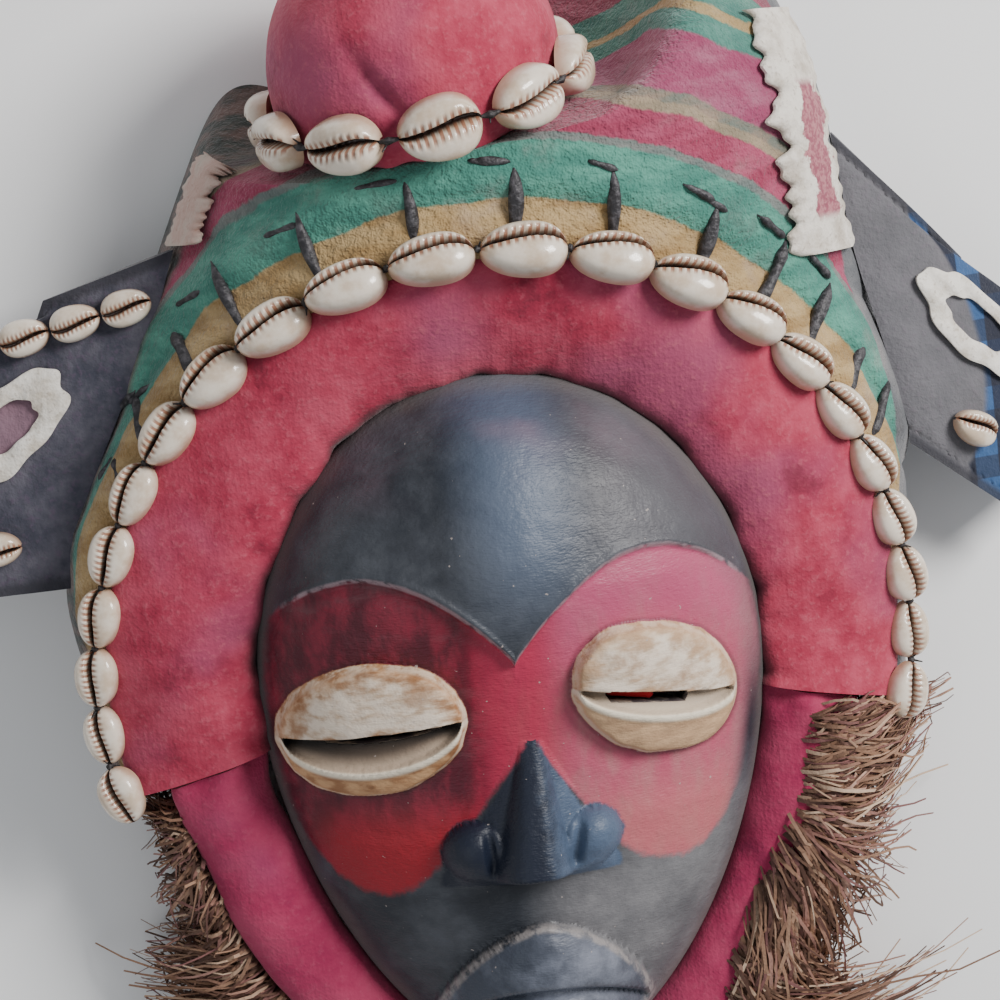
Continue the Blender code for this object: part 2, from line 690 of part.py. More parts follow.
def band_edges(angle):
    """Inner and outer reach of the face band at an angle, and its heights there."""
    inner = outline_reach(angle) + CLEARANCE
    outer = CAP_OPENING_RADIUS - CLEARANCE
    low = float(face_rim_height(inner * math.sin(angle))) + BAND_INNER_RISE
    high = rim_point(angle, CAP_OPENING_RADIUS)[2] - BAND_OUTER_DROP
    return inner, outer, low, high


def band_rise(share, low, high):
    """Height of the band's puffed face, from the wood at 0 to the cap at 1."""
    return low + (high - low) * share**1.3 + BAND_PUFF * np.sin(np.pi * share) ** 0.8


def make_face_band():
    """A padded cloth border from the wood's edge out to the cap's front edge."""
    end = math.radians(BAND_END_DEG)
    across = np.array([0.0, 0.12, 0.40, 0.70, 0.94, 1.0])
    under = np.array([1.0, 0.5, 0.0])
    sections = []
    for angle in np.linspace(end, math.pi - end, 37):
        outward = np.array((math.cos(angle), math.sin(angle)))
        inner, outer, low, high = band_edges(angle)
        shares = np.concatenate([across, under])
        top = band_rise(across, low, high)
        bottom = low + (high - low) * under - BAND_THICKNESS
        heights = np.concatenate([top, bottom])
        sections.append([(*(outward * (inner + (outer - inner) * s)), z) for s, z in zip(shares, heights)])
    return finish_body("red_face_band", tube_mesh("red_face_band", np.array(sections)), RED_CLOTH)


def jaw_angles(count):
    """Angles round the jaw, from the left end of the face band to the right."""
    end = math.radians(BAND_END_DEG)
    gap = 3 * CLEARANCE / CAP_OPENING_RADIUS
    return np.linspace(math.pi - end + gap, 2 * math.pi + end - gap, count)


def make_chin_band():
    """A stuffed cloth roll round the jaw."""
    ring = np.linspace(0, 2 * np.pi, 9, endpoint=False)
    sections = []
    for angle in jaw_angles(27):
        outward = np.array((math.cos(angle), math.sin(angle)))
        inner = outline_reach(angle) + CLEARANCE
        radii = inner + JAW_ROLL_WIDTH / 2 * (1 + np.cos(ring))
        middle_z = face_rim_height(inner * outward[1]) - FACE_EDGE_DEPTH / 4
        heights = middle_z + JAW_ROLL_THICKNESS / 2 * np.sin(ring)
        sections.append([(*(outward * r), z) for r, z in zip(radii, heights)])
    return finish_body("chin_band", tube_mesh("chin_band", np.array(sections)), RED_CLOTH)


def beard_angles(count):
    """Angles of the fringe, which starts just below the cap's lower edge."""
    inner = outline_reach(math.radians(BAND_END_DEG)) + JAW_ROLL_WIDTH
    end = math.asin((4 * CLEARANCE - CAP_SKIRT) / inner)
    return np.linspace(math.pi + end, 2 * math.pi - end, count)


def make_beard():
    """Raffia tufts in one fringe, from the jaw roll out and down to the floor."""
    count = 2 * BEARD_TUFTS + 1
    levels = np.array([0.0, 0.5, 1.0])
    front = []
    back = []
    for number, angle in enumerate(beard_angles(count)):
        outward = np.array((math.cos(angle), math.sin(angle)))
        share = number / (count - 1)
        ends = BEARD_REACH_LEFT + (BEARD_REACH_RIGHT - BEARD_REACH_LEFT) * share
        reach = ends + (BEARD_REACH_CHIN - ends) * math.sin(math.pi * share)
        valley = number % 2
        uneven = 0.5 + 0.5 * math.sin(2.4 * number)
        reach = reach - BEARD_TUFT_DEPTH * (valley + 0.5 * uneven)
        inner = outline_reach(angle) + JAW_ROLL_WIDTH + 3 * CLEARANCE
        root_z = face_rim_height(inner * outward[1]) - FACE_EDGE_DEPTH / 4
        puff = BEARD_THICKNESS * (0.7 - 0.35 * valley)
        top_z = root_z * (1 - levels**1.6) + puff * np.array([0.2, 1.0, 0.55])
        low_z = np.maximum(top_z - BEARD_THICKNESS, 0.0)
        radii = inner + reach * levels
        front.append([(*(outward * r), z) for r, z in zip(radii, top_z)])
        back.append([(*(outward * r), z) for r, z in zip(radii, low_z)])
    mesh = slab_mesh("raffia_beard", np.array(front), np.array(back))
    return finish_body("raffia_beard", mesh, RAFFIA, 25)


# Ears and hide


def ear_sizes(side):
    if side < 0:
        return EAR_BOTTOM_LEFT, EAR_DROOP_LEFT, EAR_SLANT_LEFT
    return EAR_BOTTOM_RIGHT, EAR_DROOP_RIGHT, EAR_SLANT_RIGHT


def ear_point(side, up, out, lift=0.0):
    """A point of an ear: up from its lower corner, out from the cap, lifted off its middle."""
    bottom, droop, slant = ear_sizes(side)
    y_root = bottom + EAR_LENGTH * up
    level = EAR_LEVEL + lift
    root_x = float(cap_side(np.array(y_root), np.array(min(level, EAR_LEVEL)), side))
    if lift > 0:
        root_x = float(cap_side(np.array(y_root), np.array(level), side))
    leaf = EAR_REACH * math.sin(math.pi * min(max(up, 0.06), 0.94)) ** 0.33
    middle_x = float(cap_side(np.array(y_root), np.array(EAR_LEVEL), side))
    x = root_x * (1 - out) + middle_x * out + side * (2 * CLEARANCE + leaf * out)
    y = y_root - slant * out - EAR_TOP_FALL * EAR_LENGTH * up * out
    z = level - droop * (leaf * out / EAR_REACH) ** 1.6
    return np.array((x, y, z))


def make_ear(name, side):
    ups = np.linspace(0, 1, 10)
    outs = np.array([0.0, 0.3, 0.65, 0.9, 1.0])
    puffs = np.array([0.9, 1.0, 1.0, 0.8, 0.4]) * EAR_THICKNESS / 2
    edges = np.sin(np.pi * np.linspace(0.12, 0.88, len(ups))) ** 0.4
    top = [[ear_point(side, u, o, e * p) for o, p in zip(outs, puffs)] for u, e in zip(ups, edges)]
    low = [[ear_point(side, u, o, -e * p) for o, p in zip(outs, puffs)] for u, e in zip(ups, edges)]
    return finish_body(name, slab_mesh(name, np.array(top), np.array(low)), GREY_CLOTH)


def make_ear_loop(name, side):
    """A ring of hide laid on an ear."""
    turns = np.linspace(0, 2 * np.pi, 14, endpoint=False)
    floor = EAR_THICKNESS / 2 + LAID_LIFT
    hole = (LOOP_HOLE_OUT, LOOP_HOLE_UP)
    rim = (LOOP_RIM_OUT, LOOP_RIM_UP)
    corners = ((*hole, 0), (*hole, 1), (*rim, 1), (*rim, 0))
    rings = []
    for radius_out, radius_up, raised in corners:
        ring = []
        for turn in turns:
            out = LOOP_MIDDLE_OUT + radius_out * math.cos(turn)
            up = LOOP_MIDDLE_UP + radius_up * math.sin(turn)
            point = ear_point(side, up, out)
            point[2] += floor + raised * HIDE_THICKNESS
            ring.append(point)
        rings.append(ring)
    columns = len(turns)
    faces = sheet_quads(4, columns, 0, True)
    for j in range(columns):
        after = (j + 1) % columns
        faces.append((3 * columns + j, 3 * columns + after, after, j))
    mesh = bpy.data.meshes.new(name)
    mesh.from_pydata(np.array(rings).reshape(-1, 3).tolist(), [], faces)
    return finish_body(name, mesh, HIDE)


def make_ear_shells(label, side):
    """A shell low down on each ear, and a row along the left one's upper edge."""
    places = [(EAR_LOW_SHELL_UP, EAR_LOW_SHELL_OUT)]
    if side < 0:
        high = EAR_SHELL_ROW_UP
        step = SHELL_SPACING * EAR_SHELL_LENGTH
        width = abs(ear_point(side, high, 1)[0] - ear_point(side, high, 0)[0])
        places += [(high, (number + 0.6) * step / width) for number in range(int(width / step))]
    for number, (up, out) in enumerate(places, 1):
        place = ear_point(side, up, out)
        place[2] += EAR_THICKNESS / 2 + 2.5 * LAID_LIFT
        along = ear_point(side, up, out + 0.05) - ear_point(side, up, out - 0.05)
        upward = ear_point(side, up + 0.04, out) - ear_point(side, up - 0.04, out)
        normal = np.cross(along, upward) * side
        sew_shell(f"ear_cowrie_{label}_{number}", place, along, normal, EAR_SHELL_LENGTH)


def make_shoulder_hide(name, side):
    """A strip of hide with scalloped edges, laid over the cap's shoulder."""
    if side < 0:
        place = math.radians(HIDE_PLACE_LEFT_DEG)
        low = EAR_BOTTOM_LEFT + EAR_LENGTH + LAID_LIFT
        rows = np.linspace(low, low + HIDE_LENGTH_LEFT, 11)
    else:
        place = math.pi - math.radians(HIDE_PLACE_RIGHT_DEG)
        rows = np.linspace(HIDE_RIGHT_BOTTOM, HIDE_RIGHT_BOTTOM + HIDE_LENGTH_RIGHT, 11)
    front = []
    back = []
    for number, y in enumerate(rows):
        swell = 0.15 + 0.07 * abs(math.sin(math.pi * (number + 0.5) / 4))
        turns = place + swell * np.linspace(-1, 1, 5)
        back.append(cap_surface(np.array(y), turns, -LAID_LIFT))
        front.append(cap_surface(np.array(y), turns, -LAID_LIFT - HIDE_THICKNESS))
    mesh = slab_mesh(name, np.array(front), np.array(back))
    return finish_body(name, mesh, HIDE)


def rest_on_origin():
    """Moves everything together, so that the middle of the underside is the origin."""
    pieces = [piece for piece in bpy.data.objects if not piece.hide_render]
    points = np.concatenate([[vertex.co for vertex in piece.data.vertices] for piece in pieces])
    low = points.min(axis=0)
    high = points.max(axis=0)
    middle = Vector(((low[0] + high[0]) / 2, (low[1] + high[1]) / 2, low[2]))
    for item in bpy.data.objects:
        item.location = -middle


def main():
    for old in list(bpy.data.objects):
        bpy.data.objects.remove(old)
    make_wooden_face()
    make_face_band()
    make_chin_band()
    make_cap()
    make_topknot()
    make_knot_shells()
    make_rim_shells()
    for label, side in (("left", -1), ("right", 1)):
        make_ear(f"ear_{label}", side)
        make_ear_loop(f"ear_loop_{label}", side)
        make_ear_shells(label, side)
        make_shoulder_hide(f"shoulder_hide_{label}", side)
    make_beard()
    rest_on_origin()


main()
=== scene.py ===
import math

import bmesh
import bpy
import numpy as np
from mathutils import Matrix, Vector


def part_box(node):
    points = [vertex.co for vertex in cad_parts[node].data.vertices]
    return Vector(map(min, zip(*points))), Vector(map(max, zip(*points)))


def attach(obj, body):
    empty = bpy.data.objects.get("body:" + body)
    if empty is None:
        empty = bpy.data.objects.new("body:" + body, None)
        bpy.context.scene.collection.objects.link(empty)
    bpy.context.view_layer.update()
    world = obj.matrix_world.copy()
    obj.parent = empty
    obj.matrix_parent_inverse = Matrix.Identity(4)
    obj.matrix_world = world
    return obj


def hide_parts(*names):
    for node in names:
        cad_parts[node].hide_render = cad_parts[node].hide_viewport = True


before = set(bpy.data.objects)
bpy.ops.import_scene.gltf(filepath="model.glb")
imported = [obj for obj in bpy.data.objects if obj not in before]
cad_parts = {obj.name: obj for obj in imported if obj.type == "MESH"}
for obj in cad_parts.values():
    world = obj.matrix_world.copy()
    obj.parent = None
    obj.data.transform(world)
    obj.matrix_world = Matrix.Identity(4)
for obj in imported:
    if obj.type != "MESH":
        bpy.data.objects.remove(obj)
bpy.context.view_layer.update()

# Camera, floor and light
# The mask lies on its back on a pale floor. The camera looks down on it at the photograph's angle,
# a little from the crown's side, with soft light from above the mask's right temple.

FACE_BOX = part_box("wooden_face")
MASK_MIDDLE = np.array(((FACE_BOX[0][0] + FACE_BOX[1][0]) / 2, FACE_BOX[0][1] + 0.135, 0.0))
CAMERA_DISTANCE = 0.760
METRES_PER_PIXEL = 0.000295
CAMERA_YAW_DEG = -5.0
CAMERA_PITCH_DEG = 12.0
CAMERA_ROLL_DEG = 6.5
AIM_HEIGHT = 0.060
AIM_RIGHT_PIXELS = -14
AIM_UP_PIXELS = 160
SENSOR = 36.0

yaw = math.radians(CAMERA_YAW_DEG)
pitch = math.radians(CAMERA_PITCH_DEG)
roll = math.radians(CAMERA_ROLL_DEG)
back = Vector((math.sin(yaw) * math.cos(pitch), math.sin(pitch), math.cos(yaw) * math.cos(pitch)))
level_right = Vector((0, 1, 0)).cross(back).normalized()
level_up = back.cross(level_right)
right = level_right * math.cos(roll) - level_up * math.sin(roll)
up = level_right * math.sin(roll) + level_up * math.cos(roll)
aim = Vector(MASK_MIDDLE) + Vector((0, 0, AIM_HEIGHT))
eye_place = aim + back * CAMERA_DISTANCE
middle = aim + right * AIM_RIGHT_PIXELS * METRES_PER_PIXEL + up * AIM_UP_PIXELS * METRES_PER_PIXEL
back = (eye_place - middle).normalized()
right = (right - back * right.dot(back)).normalized()
up = back.cross(right)
camera = bpy.data.objects.new("camera", bpy.data.cameras.new("camera"))
bpy.context.scene.collection.objects.link(camera)
camera.matrix_world = [[right[i], up[i], back[i], eye_place[i]] for i in range(3)] + [[0, 0, 0, 1]]
camera.matrix_world.transpose()
camera.data.sensor_width = SENSOR
camera.data.lens = SENSOR * CAMERA_DISTANCE / (1000 * METRES_PER_PIXEL)
camera.data.clip_start = 0.05
camera.data.clip_end = 20
bpy.context.scene.camera = camera

floor_mesh = bpy.data.meshes.new("floor")
floor_mesh.from_pydata([(-3, -3, 0), (3, -3, 0), (3, 3, 0), (-3, 3, 0)], [], [(0, 1, 2, 3)])
floor = bpy.data.objects.new("floor", floor_mesh)
bpy.context.scene.collection.objects.link(floor)
floor_finish = bpy.data.materials.new("pale_floor")
floor_finish.use_nodes = True
floor_finish.node_tree.nodes["Principled BSDF"].inputs["Base Color"].default_value = (0.90, 0.90, 0.90, 1)
floor_finish.node_tree.nodes["Principled BSDF"].inputs["Roughness"].default_value = 0.9
floor_mesh.materials.append(floor_finish)


def hang_light(name, place, watts, size, colour=(1, 1, 1)):
    """A square soft light aimed at the mask."""
    lamp = bpy.data.lights.new(name, "AREA")
    lamp.energy = watts
    lamp.size = size
    lamp.color = colour
    holder = bpy.data.objects.new(name, lamp)
    bpy.context.scene.collection.objects.link(holder)
    holder.location = Vector(MASK_MIDDLE) + Vector(place)
    holder.rotation_euler = (aim - holder.location).to_track_quat("-Z", "Y").to_euler()


hang_light("window_light", (0.88, 0.60, 0.96), 27, 0.50, (1.0, 0.98, 0.96))
hang_light("fill_light", (-0.9, -0.5, 1.3), 4.0, 1.2, (0.94, 0.97, 1.0))
world = bpy.data.worlds.new("room")
world.use_nodes = True
world.node_tree.nodes["Background"].inputs["Color"].default_value = (0.93, 0.96, 1.0, 1)
world.node_tree.nodes["Background"].inputs["Strength"].default_value = 0.42
bpy.context.scene.world = world


# Wooden face
# One piece of wood, carved in front and hollowed behind, with pierced eye slits. It is painted dark
# slate, with red round the cowrie-shaped eyes, and the paint is worn along the brows, nose and lips.

FACE_WIDTH = 0.152
FACE_TOP = 0.086
FACE_CHIN = 0.135
FACE_WIDEST = -0.005
FACE_RIM_HEIGHT = 0.052
FACE_RIM_SLOPE = 0.12
FACE_EDGE_DEPTH = 0.012
FACE_WALL = 0.008
BROW_MIDDLE = -0.003
BROW_POINT = 0.006
BROW_ARCH = 0.028
BROW_STEP = 0.0028
BROW_ROLL = 0.0007
CREASE_REACH = 0.024
FOREHEAD_RIDGE = 0.0034
CHIN_RIDGE = 0.0022
SOCKET_DEPTH = 0.0035
EYE_SPREAD = 0.0415
# Each eye: middle across and up, half length, half height, slope of its slit, share scooped out
EYES = (
    (-0.0450, -0.0108, 0.0275, 0.0205, 0.07, 0.56),
    (0.0382, -0.0085, 0.0260, 0.0208, -0.19, 0.34),
)
EYE_BULGE = 0.0105
EYE_SCOOP = 0.0080
EYE_LEDGE = 0.0008
SLIT_BELOW = 0.0014
NOSE_TOP = -0.018
NOSE_BASE = -0.0575
NOSE_RISE = 0.0155
NOSE_TOP_HALF = 0.0034
NOSE_SPREAD = 0.0100
NOSE_LEAN_LEFT = 0.0028
WING_SPREAD = 0.0175
WING_RADIUS = 0.0090
WING_RISE = 0.0080
WING_GROOVE = 0.0024
MOUTH_MIDDLE = -0.0020
MOUTH_LEVEL = -0.0965
MOUTH_HALF_WIDTH = 0.035
LIP_HALF_HEIGHT = 0.021
LIP_RISE = 0.0105
LIP_PARTING = 0.0048
# Lower edge of the red, across and up in millimetres, on the right side and on the left
RED_RIGHT = (
    (0, -21), (6, -28), (12, -37), (18, -46.5), (24, -55), (30, -59.5), (36, -62),
    (43, -63), (50, -61), (57, -55), (64, -44), (71, -30), (78, -5),
)
RED_LEFT = (
    (0, -21), (7, -27), (13, -34), (19, -41.5), (24, -48), (30, -55), (37, -61),
    (45, -63.5), (52, -62), (59, -57), (67, -45), (72, -32), (78, -5),
)


def soft_step(value):
    """0 below 0, 1 above 1, and smooth between."""
    value = np.clip(value, 0.0, 1.0)
    return value * value * (3 - 2 * value)


def hill(value, middle_value, half):
    """1 at a value, falling smoothly to 0 half of a width away."""
    return soft_step(1 - np.abs(value - middle_value) / half)


def lumps(points, size, seed=0):
    """Smooth random values from -1 to 1 over space, the same on each run."""
    spot = np.asarray(points) / size + seed * 7.31
    cell = np.floor(spot).astype(np.int64)
    part = spot - cell
    part = part * part * (3 - 2 * part)
    total = 0.0
    for corner in range(8):
        step = np.array((corner & 1, corner >> 1 & 1, corner >> 2 & 1))
        key = (cell + step) @ np.array((73856093, 19349663, 83492791)) + seed * 2654435761
        key = (key ^ (key >> 13)) * 1274126177 & 0x7FFFFFFF
        share = np.prod(np.where(step, part, 1 - part), axis=-1)
        total = total + share * ((key ^ (key >> 11)) % 65536 / 32767.5 - 1)
    return total


def grid_faces(rows, columns, start=0, wrap=False):
    """Faces of a grid of points, closed round its columns where wrap says so."""
    last = columns if wrap else columns - 1
    i, j = np.meshgrid(np.arange(rows - 1), np.arange(last), indexing="ij")
    after = (j + 1) % columns
    quads = (i * columns + j, i * columns + after, (i + 1) * columns + after, (i + 1) * columns + j)
    return (np.stack(quads, -1).reshape(-1, 4) + start).tolist()


def closed_tube(sections):
    """Points and faces of one closed body through a row of closed rings, with flat ends."""
    rows, columns = sections.shape[:2]
    faces = grid_faces(rows, columns, 0, True)
    faces += [tuple(range(columns))[::-1], tuple(range((rows - 1) * columns, rows * columns))]
    return sections.reshape(-1, 3), faces


def new_piece(name, points, faces, finish, fields=None, smooth_deg=60):
    """A piece of the mask from points round its middle, with named values kept at its points."""
    mesh = bpy.data.meshes.new(name)
    mesh.from_pydata((np.asarray(points) + MASK_MIDDLE).tolist(), [], faces)
    for field, values in (fields or {}).items():
        kept = mesh.attributes.new(field, "FLOAT", "POINT")
        kept.data.foreach_set("value", np.asarray(values, dtype=np.float32).ravel())
    bm = bmesh.new()
    bm.from_mesh(mesh)
    bmesh.ops.recalc_face_normals(bm, faces=bm.faces)
    bm.to_mesh(mesh)
    bm.free()
    mesh.shade_smooth()
    mesh.set_sharp_from_angle(angle=math.radians(smooth_deg))
    mesh.materials.append(finish)
    piece = bpy.data.objects.new(name, mesh)
    bpy.context.scene.collection.objects.link(piece)
    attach(piece, "root")
    return piece


FINEST_SPOT = 0.0005


class Finish:
    """A procedural surface, built up coat over coat. Sizes are in metres."""

    def __init__(self, name, roughness=0.8, sheen=0.0, coat=0.0):
        self.material = bpy.data.materials.new(name)
        self.material.use_nodes = True
        self.tree = self.material.node_tree
        self.shader = self.tree.nodes["Principled BSDF"]
        self.shader.inputs["Roughness"].default_value = roughness
        self.shader.inputs["Sheen Weight"].default_value = sheen
        self.shader.inputs["Coat Weight"].default_value = coat
        self.place = self.tree.nodes.new("ShaderNodeTexCoord").outputs["Object"]

    def join(self, value, socket):
        """Links or sets a socket."""
        if isinstance(value, bpy.types.NodeSocket):
            self.tree.links.new(value, socket)
        elif isinstance(value, tuple):
            socket.default_value = (*value, 1)
        else:
            socket.default_value = value

    def field(self, name):
        """Values kept at the mesh's points under a name."""
        node = self.tree.nodes.new("ShaderNodeAttribute")
        node.attribute_name = name
        return node.outputs["Fac"]

    def noise(self, size, detail=4.0, roughness=0.6, stretch=(1, 1, 1), seed=0.0):
        """Mottle from 0 to 1 with spots of a size, down to half a millimetre."""
        spread = self.tree.nodes.new("ShaderNodeMapping")
        spread.inputs["Scale"].default_value = stretch
        spread.inputs["Location"].default_value = (seed, seed * 0.7, seed * 1.3)
        node = self.tree.nodes.new("ShaderNodeTexNoise")
        self.join(self.place, spread.inputs["Vector"])
        self.join(spread.outputs["Vector"], node.inputs["Vector"])
        node.inputs["Scale"].default_value = 1 / size
        node.inputs["Detail"].default_value = min(detail, max(0.0, math.log2(size / FINEST_SPOT)))
        node.inputs["Roughness"].default_value = roughness
        return node.outputs["Fac"]

    def maths(self, operation, a, b=0.0):
        """One sum on values that vary over the surface."""
        node = self.tree.nodes.new("ShaderNodeMath")
        node.operation = operation
        self.join(a, node.inputs[0])
        self.join(b, node.inputs[1])
        return node.outputs[0]

    def times(self, first, *others):
        for value in others:
            first = self.maths("MULTIPLY", first, value)
        return first

    def plus(self, a, b):
        return self.maths("ADD", a, b)

    def minus(self, a, b):
        return self.maths("SUBTRACT", a, b)

    def near(self, value, low, high):
        """0 below low, 1 above high, and smooth between; low may be the higher one."""
        node = self.tree.nodes.new("ShaderNodeMapRange")
        node.interpolation_type = "SMOOTHSTEP"
        falling = low > high
        self.join(value, node.inputs["Value"])
        node.inputs["From Min"].default_value = min(low, high)
        node.inputs["From Max"].default_value = max(low, high)
        node.inputs["To Min"].default_value = 1.0 if falling else 0.0
        node.inputs["To Max"].default_value = 0.0 if falling else 1.0
        return node.outputs["Result"]

    def axis(self, name):
        node = self.tree.nodes.new("ShaderNodeSeparateXYZ")
        self.join(self.place, node.inputs[0])
        return node.outputs[name]

    def across(self, low, high):
        """0 to 1 between two distances to the right of the mask's middle."""
        return self.near(self.axis("X"), MASK_MIDDLE[0] + low, MASK_MIDDLE[0] + high)

    def up(self, low, high):
        """0 to 1 between two distances from the mask's middle towards the crown."""
        return self.near(self.axis("Y"), MASK_MIDDLE[1] + low, MASK_MIDDLE[1] + high)

    def off_line(self, right_of_middle):
        """Distance from an upright line over the mask."""
        return self.maths("ABSOLUTE", self.minus(self.axis("X"), MASK_MIDDLE[0] + right_of_middle))

    def lay(self, base, top, share):
        """One colour over another, by a share."""
        node = self.tree.nodes.new("ShaderNodeMix")
        node.data_type = "RGBA"
        self.join(share, node.inputs[0])
        self.join(base, node.inputs[6])
        self.join(top, node.inputs[7])
        return node.outputs[2]

    def paint(self, colour):
        self.join(colour, self.shader.inputs["Base Color"])

    def rough(self, value):
        self.join(value, self.shader.inputs["Roughness"])

    def raise_by(self, height, distance):
        """Bumps the surface by a height from 0 to 1 over a distance; later ones add up."""
        node = self.tree.nodes.new("ShaderNodeBump")
        node.inputs["Strength"].default_value = 1.0
        node.inputs["Distance"].default_value = distance
        self.join(height, node.inputs["Height"])
        links = self.shader.inputs["Normal"].links
        if links:
            self.tree.links.new(links[0].from_socket, node.inputs["Normal"])
        self.tree.links.new(node.outputs["Normal"], self.shader.inputs["Normal"])


def face_radius(angle):
    """The wood's egg-shaped outline, as a distance from its widest line's middle."""
    x = np.cos(angle)
    y = np.sin(angle)
    upper = FACE_TOP - FACE_WIDEST
    lower = FACE_CHIN + FACE_WIDEST
    over = (np.abs(x / FACE_WIDTH * 2) ** 2 + np.abs(y / upper) ** 2) ** -0.5
    under = (np.abs(x / FACE_WIDTH * 2) ** 1.75 + np.abs(y / lower) ** 1.75) ** (-1 / 1.75)
    return np.where(y >= 0, over, under)


def face_outline(angle, grow=0.0):
    radius = face_radius(angle) + grow
    return radius * np.cos(angle), FACE_WIDEST + radius * np.sin(angle)


def face_rim_height(y):
    return FACE_RIM_HEIGHT + FACE_RIM_SLOPE * y


def face_dome(x, y):
    """The plain dome that the features are carved on, and the share of the way to the edge."""
    dy = y - FACE_WIDEST
    share = np.clip(np.hypot(x, dy) / face_radius(np.arctan2(dy, x)), 0, 1)
    rise = 0.036 + 0.008 * soft_step((y + 0.030) / 0.060) - 0.006 * soft_step((-y - 0.065) / 0.060)
    return face_rim_height(y) + rise * (1 - share**2.5) ** 0.62, share


def brow_line(x):
    """Lower edge of the brows, an arch over each eye that falls to a point between them."""
    across = np.abs(x - BROW_MIDDLE)
    arch = np.sin(np.pi / 2 * np.clip(across / EYE_SPREAD, 0, 1)) ** 0.85
    return BROW_POINT + BROW_ARCH * arch - 17 * np.maximum(across - EYE_SPREAD, 0) ** 2


def carve_brow(y, across, z, brow, inside):
    """Steps the brow out over sunken sockets, and creases the forehead and chin down the middle."""
    z = z + BROW_STEP * soft_step(brow / 0.0030 + 0.5) * inside
    z = z + BROW_ROLL * hill(brow, 0.0012, 0.0028) * inside
    crease = soft_step(1 - across / CREASE_REACH)
    z = z + (FOREHEAD_RIDGE * crease * soft_step((y - 0.008) / 0.030)) * inside
    z = z + CHIN_RIDGE * crease * soft_step((-0.064 - y) / 0.012) * inside
    socket = np.clip(1 - ((y + 0.0105) / 0.036) ** 2, 0, 1)
    socket = socket * np.exp(-(((across - EYE_SPREAD) / 0.026) ** 2))
    return z - SOCKET_DEPTH * socket * soft_step(-brow / 0.006)


def carve_eyes(x, y, z, wobble):
    """Cowrie-shaped eyes: the new height, how far inside an eye each point is, and in millimetres
    how far it is above the eye's slit and above the rim of the scoop under it."""
    eye = np.full_like(x, -9.0)
    lid = np.full_like(x, 9.0)
    rim = np.full_like(x, 9.0)
    for centre_x, centre_y, half_long, half_high, slope, scooped in EYES:
        a = (x - centre_x) / half_long
        b = (y - centre_y - slope * (x - centre_x)) / half_high
        e = 1 - np.abs(a) ** 2.15 - np.abs(b) ** 2.0 + 0.07 * wobble
        inner = np.clip(e, 0, 1)
        bulge = 0.36 * soft_step(5 * inner) + 0.64 * inner**0.65
        low = -scooped * np.clip(1 - (a / 0.93) ** 2, 0, 1) ** 0.55
        deep = soft_step((0.02 - b) / 0.06) * soft_step((b - low) / 0.08)
        depth = np.clip((b - low) / np.maximum(-low, 0.05), 0, 1)
        fits = soft_step((0.93 - np.abs(a)) / 0.08)
        scoop = EYE_SCOOP * (scooped + 0.44) * deep * (0.25 + 0.75 * depth) * fits
        ledge = EYE_LEDGE * hill(b, low - 0.04, 0.12) * fits * (inner > 0)
        brush = 0.00022 * lumps(np.stack([a * 2.2, b * 9, 0 * a], -1), 1.0, 5)
        z = z + EYE_BULGE * bulge - scoop + ledge + brush * (inner > 0)
        eye = np.maximum(eye, e)
        lid = np.where(e > -0.3, b * half_high * 1000, lid)
        rim = np.where(e > -0.3, (b - low) * half_high * 1000, rim)
    return z, eye, lid, rim


def carve_nose(x, y):
    """Height of the nose with its two wings, and in millimetres how far inside it each point is."""
    along = np.clip((NOSE_TOP - y) / (NOSE_TOP - NOSE_BASE), 0, 1)
    off_ridge = np.abs(x + NOSE_LEAN_LEFT * along)
    half = NOSE_TOP_HALF + NOSE_SPREAD * along
    under = 1 - soft_step((NOSE_BASE - y) / 0.0055)
    bridge = np.clip(1 - (off_ridge / half) ** 2.8, 0, 1) ** 0.9
    flank = 0.5 * along * np.clip(1 - (off_ridge / (half + 0.0117 * along)) ** 2, 0, 1)
    nose = NOSE_RISE * np.maximum(along**0.9 * bridge, flank) * under * (y < NOSE_TOP)
    wing_oval = 1 - ((off_ridge - WING_SPREAD) / WING_RADIUS) ** 2 - ((y + 0.0500) / 0.0088) ** 2
    wing_reach = np.clip(wing_oval, 0, 1)
    wing = WING_RISE * wing_reach**0.55
    join = np.exp(-(((nose - wing) / 0.0020) ** 2)) * (wing_reach > 0)
    nose = np.maximum(nose, wing) + 0.0010 * join
    groove = hill(off_ridge, 0.0118 + 0.12 * (y + 0.0575), 0.0026)
    groove = groove * soft_step((-0.0405 - y) / 0.008)
    nose = nose - WING_GROOVE * groove * soft_step((y + 0.0600) / 0.006)
    edge = 0.0015 + 0.0250 * along**1.15 - off_ridge
    edge = np.minimum(edge, (y - NOSE_BASE + 0.0040) * 1.5)
    edge = np.maximum(edge, np.clip(wing_oval + 0.15, -2, 1) * 0.005)
    return nose, edge * 1000 - 30 * (y > NOSE_TOP)


def carve_lips(x, y):
    """Height of the parted lips, and how far inside them each point is, 1 at their middle."""
    off_middle = x - MOUTH_MIDDLE
    bent = y + 12 * off_middle**2
    lip_height = LIP_HALF_HEIGHT - 0.15 * np.abs(off_middle)
    lips = 1 - (off_middle / MOUTH_HALF_WIDTH) ** 2 - ((bent - MOUTH_LEVEL) / lip_height) ** 2
    lips = np.clip(lips, -1, 1)
    full = np.clip(lips, 0, 1)
    parting = hill(bent, MOUTH_LEVEL - 0.002, 0.0032) * np.clip(3 * full, 0, 1)
    border = 0.0012 * hill(lips, 0.10, 0.16)
    return LIP_RISE * full**0.6 - LIP_PARTING * parting + border, lips


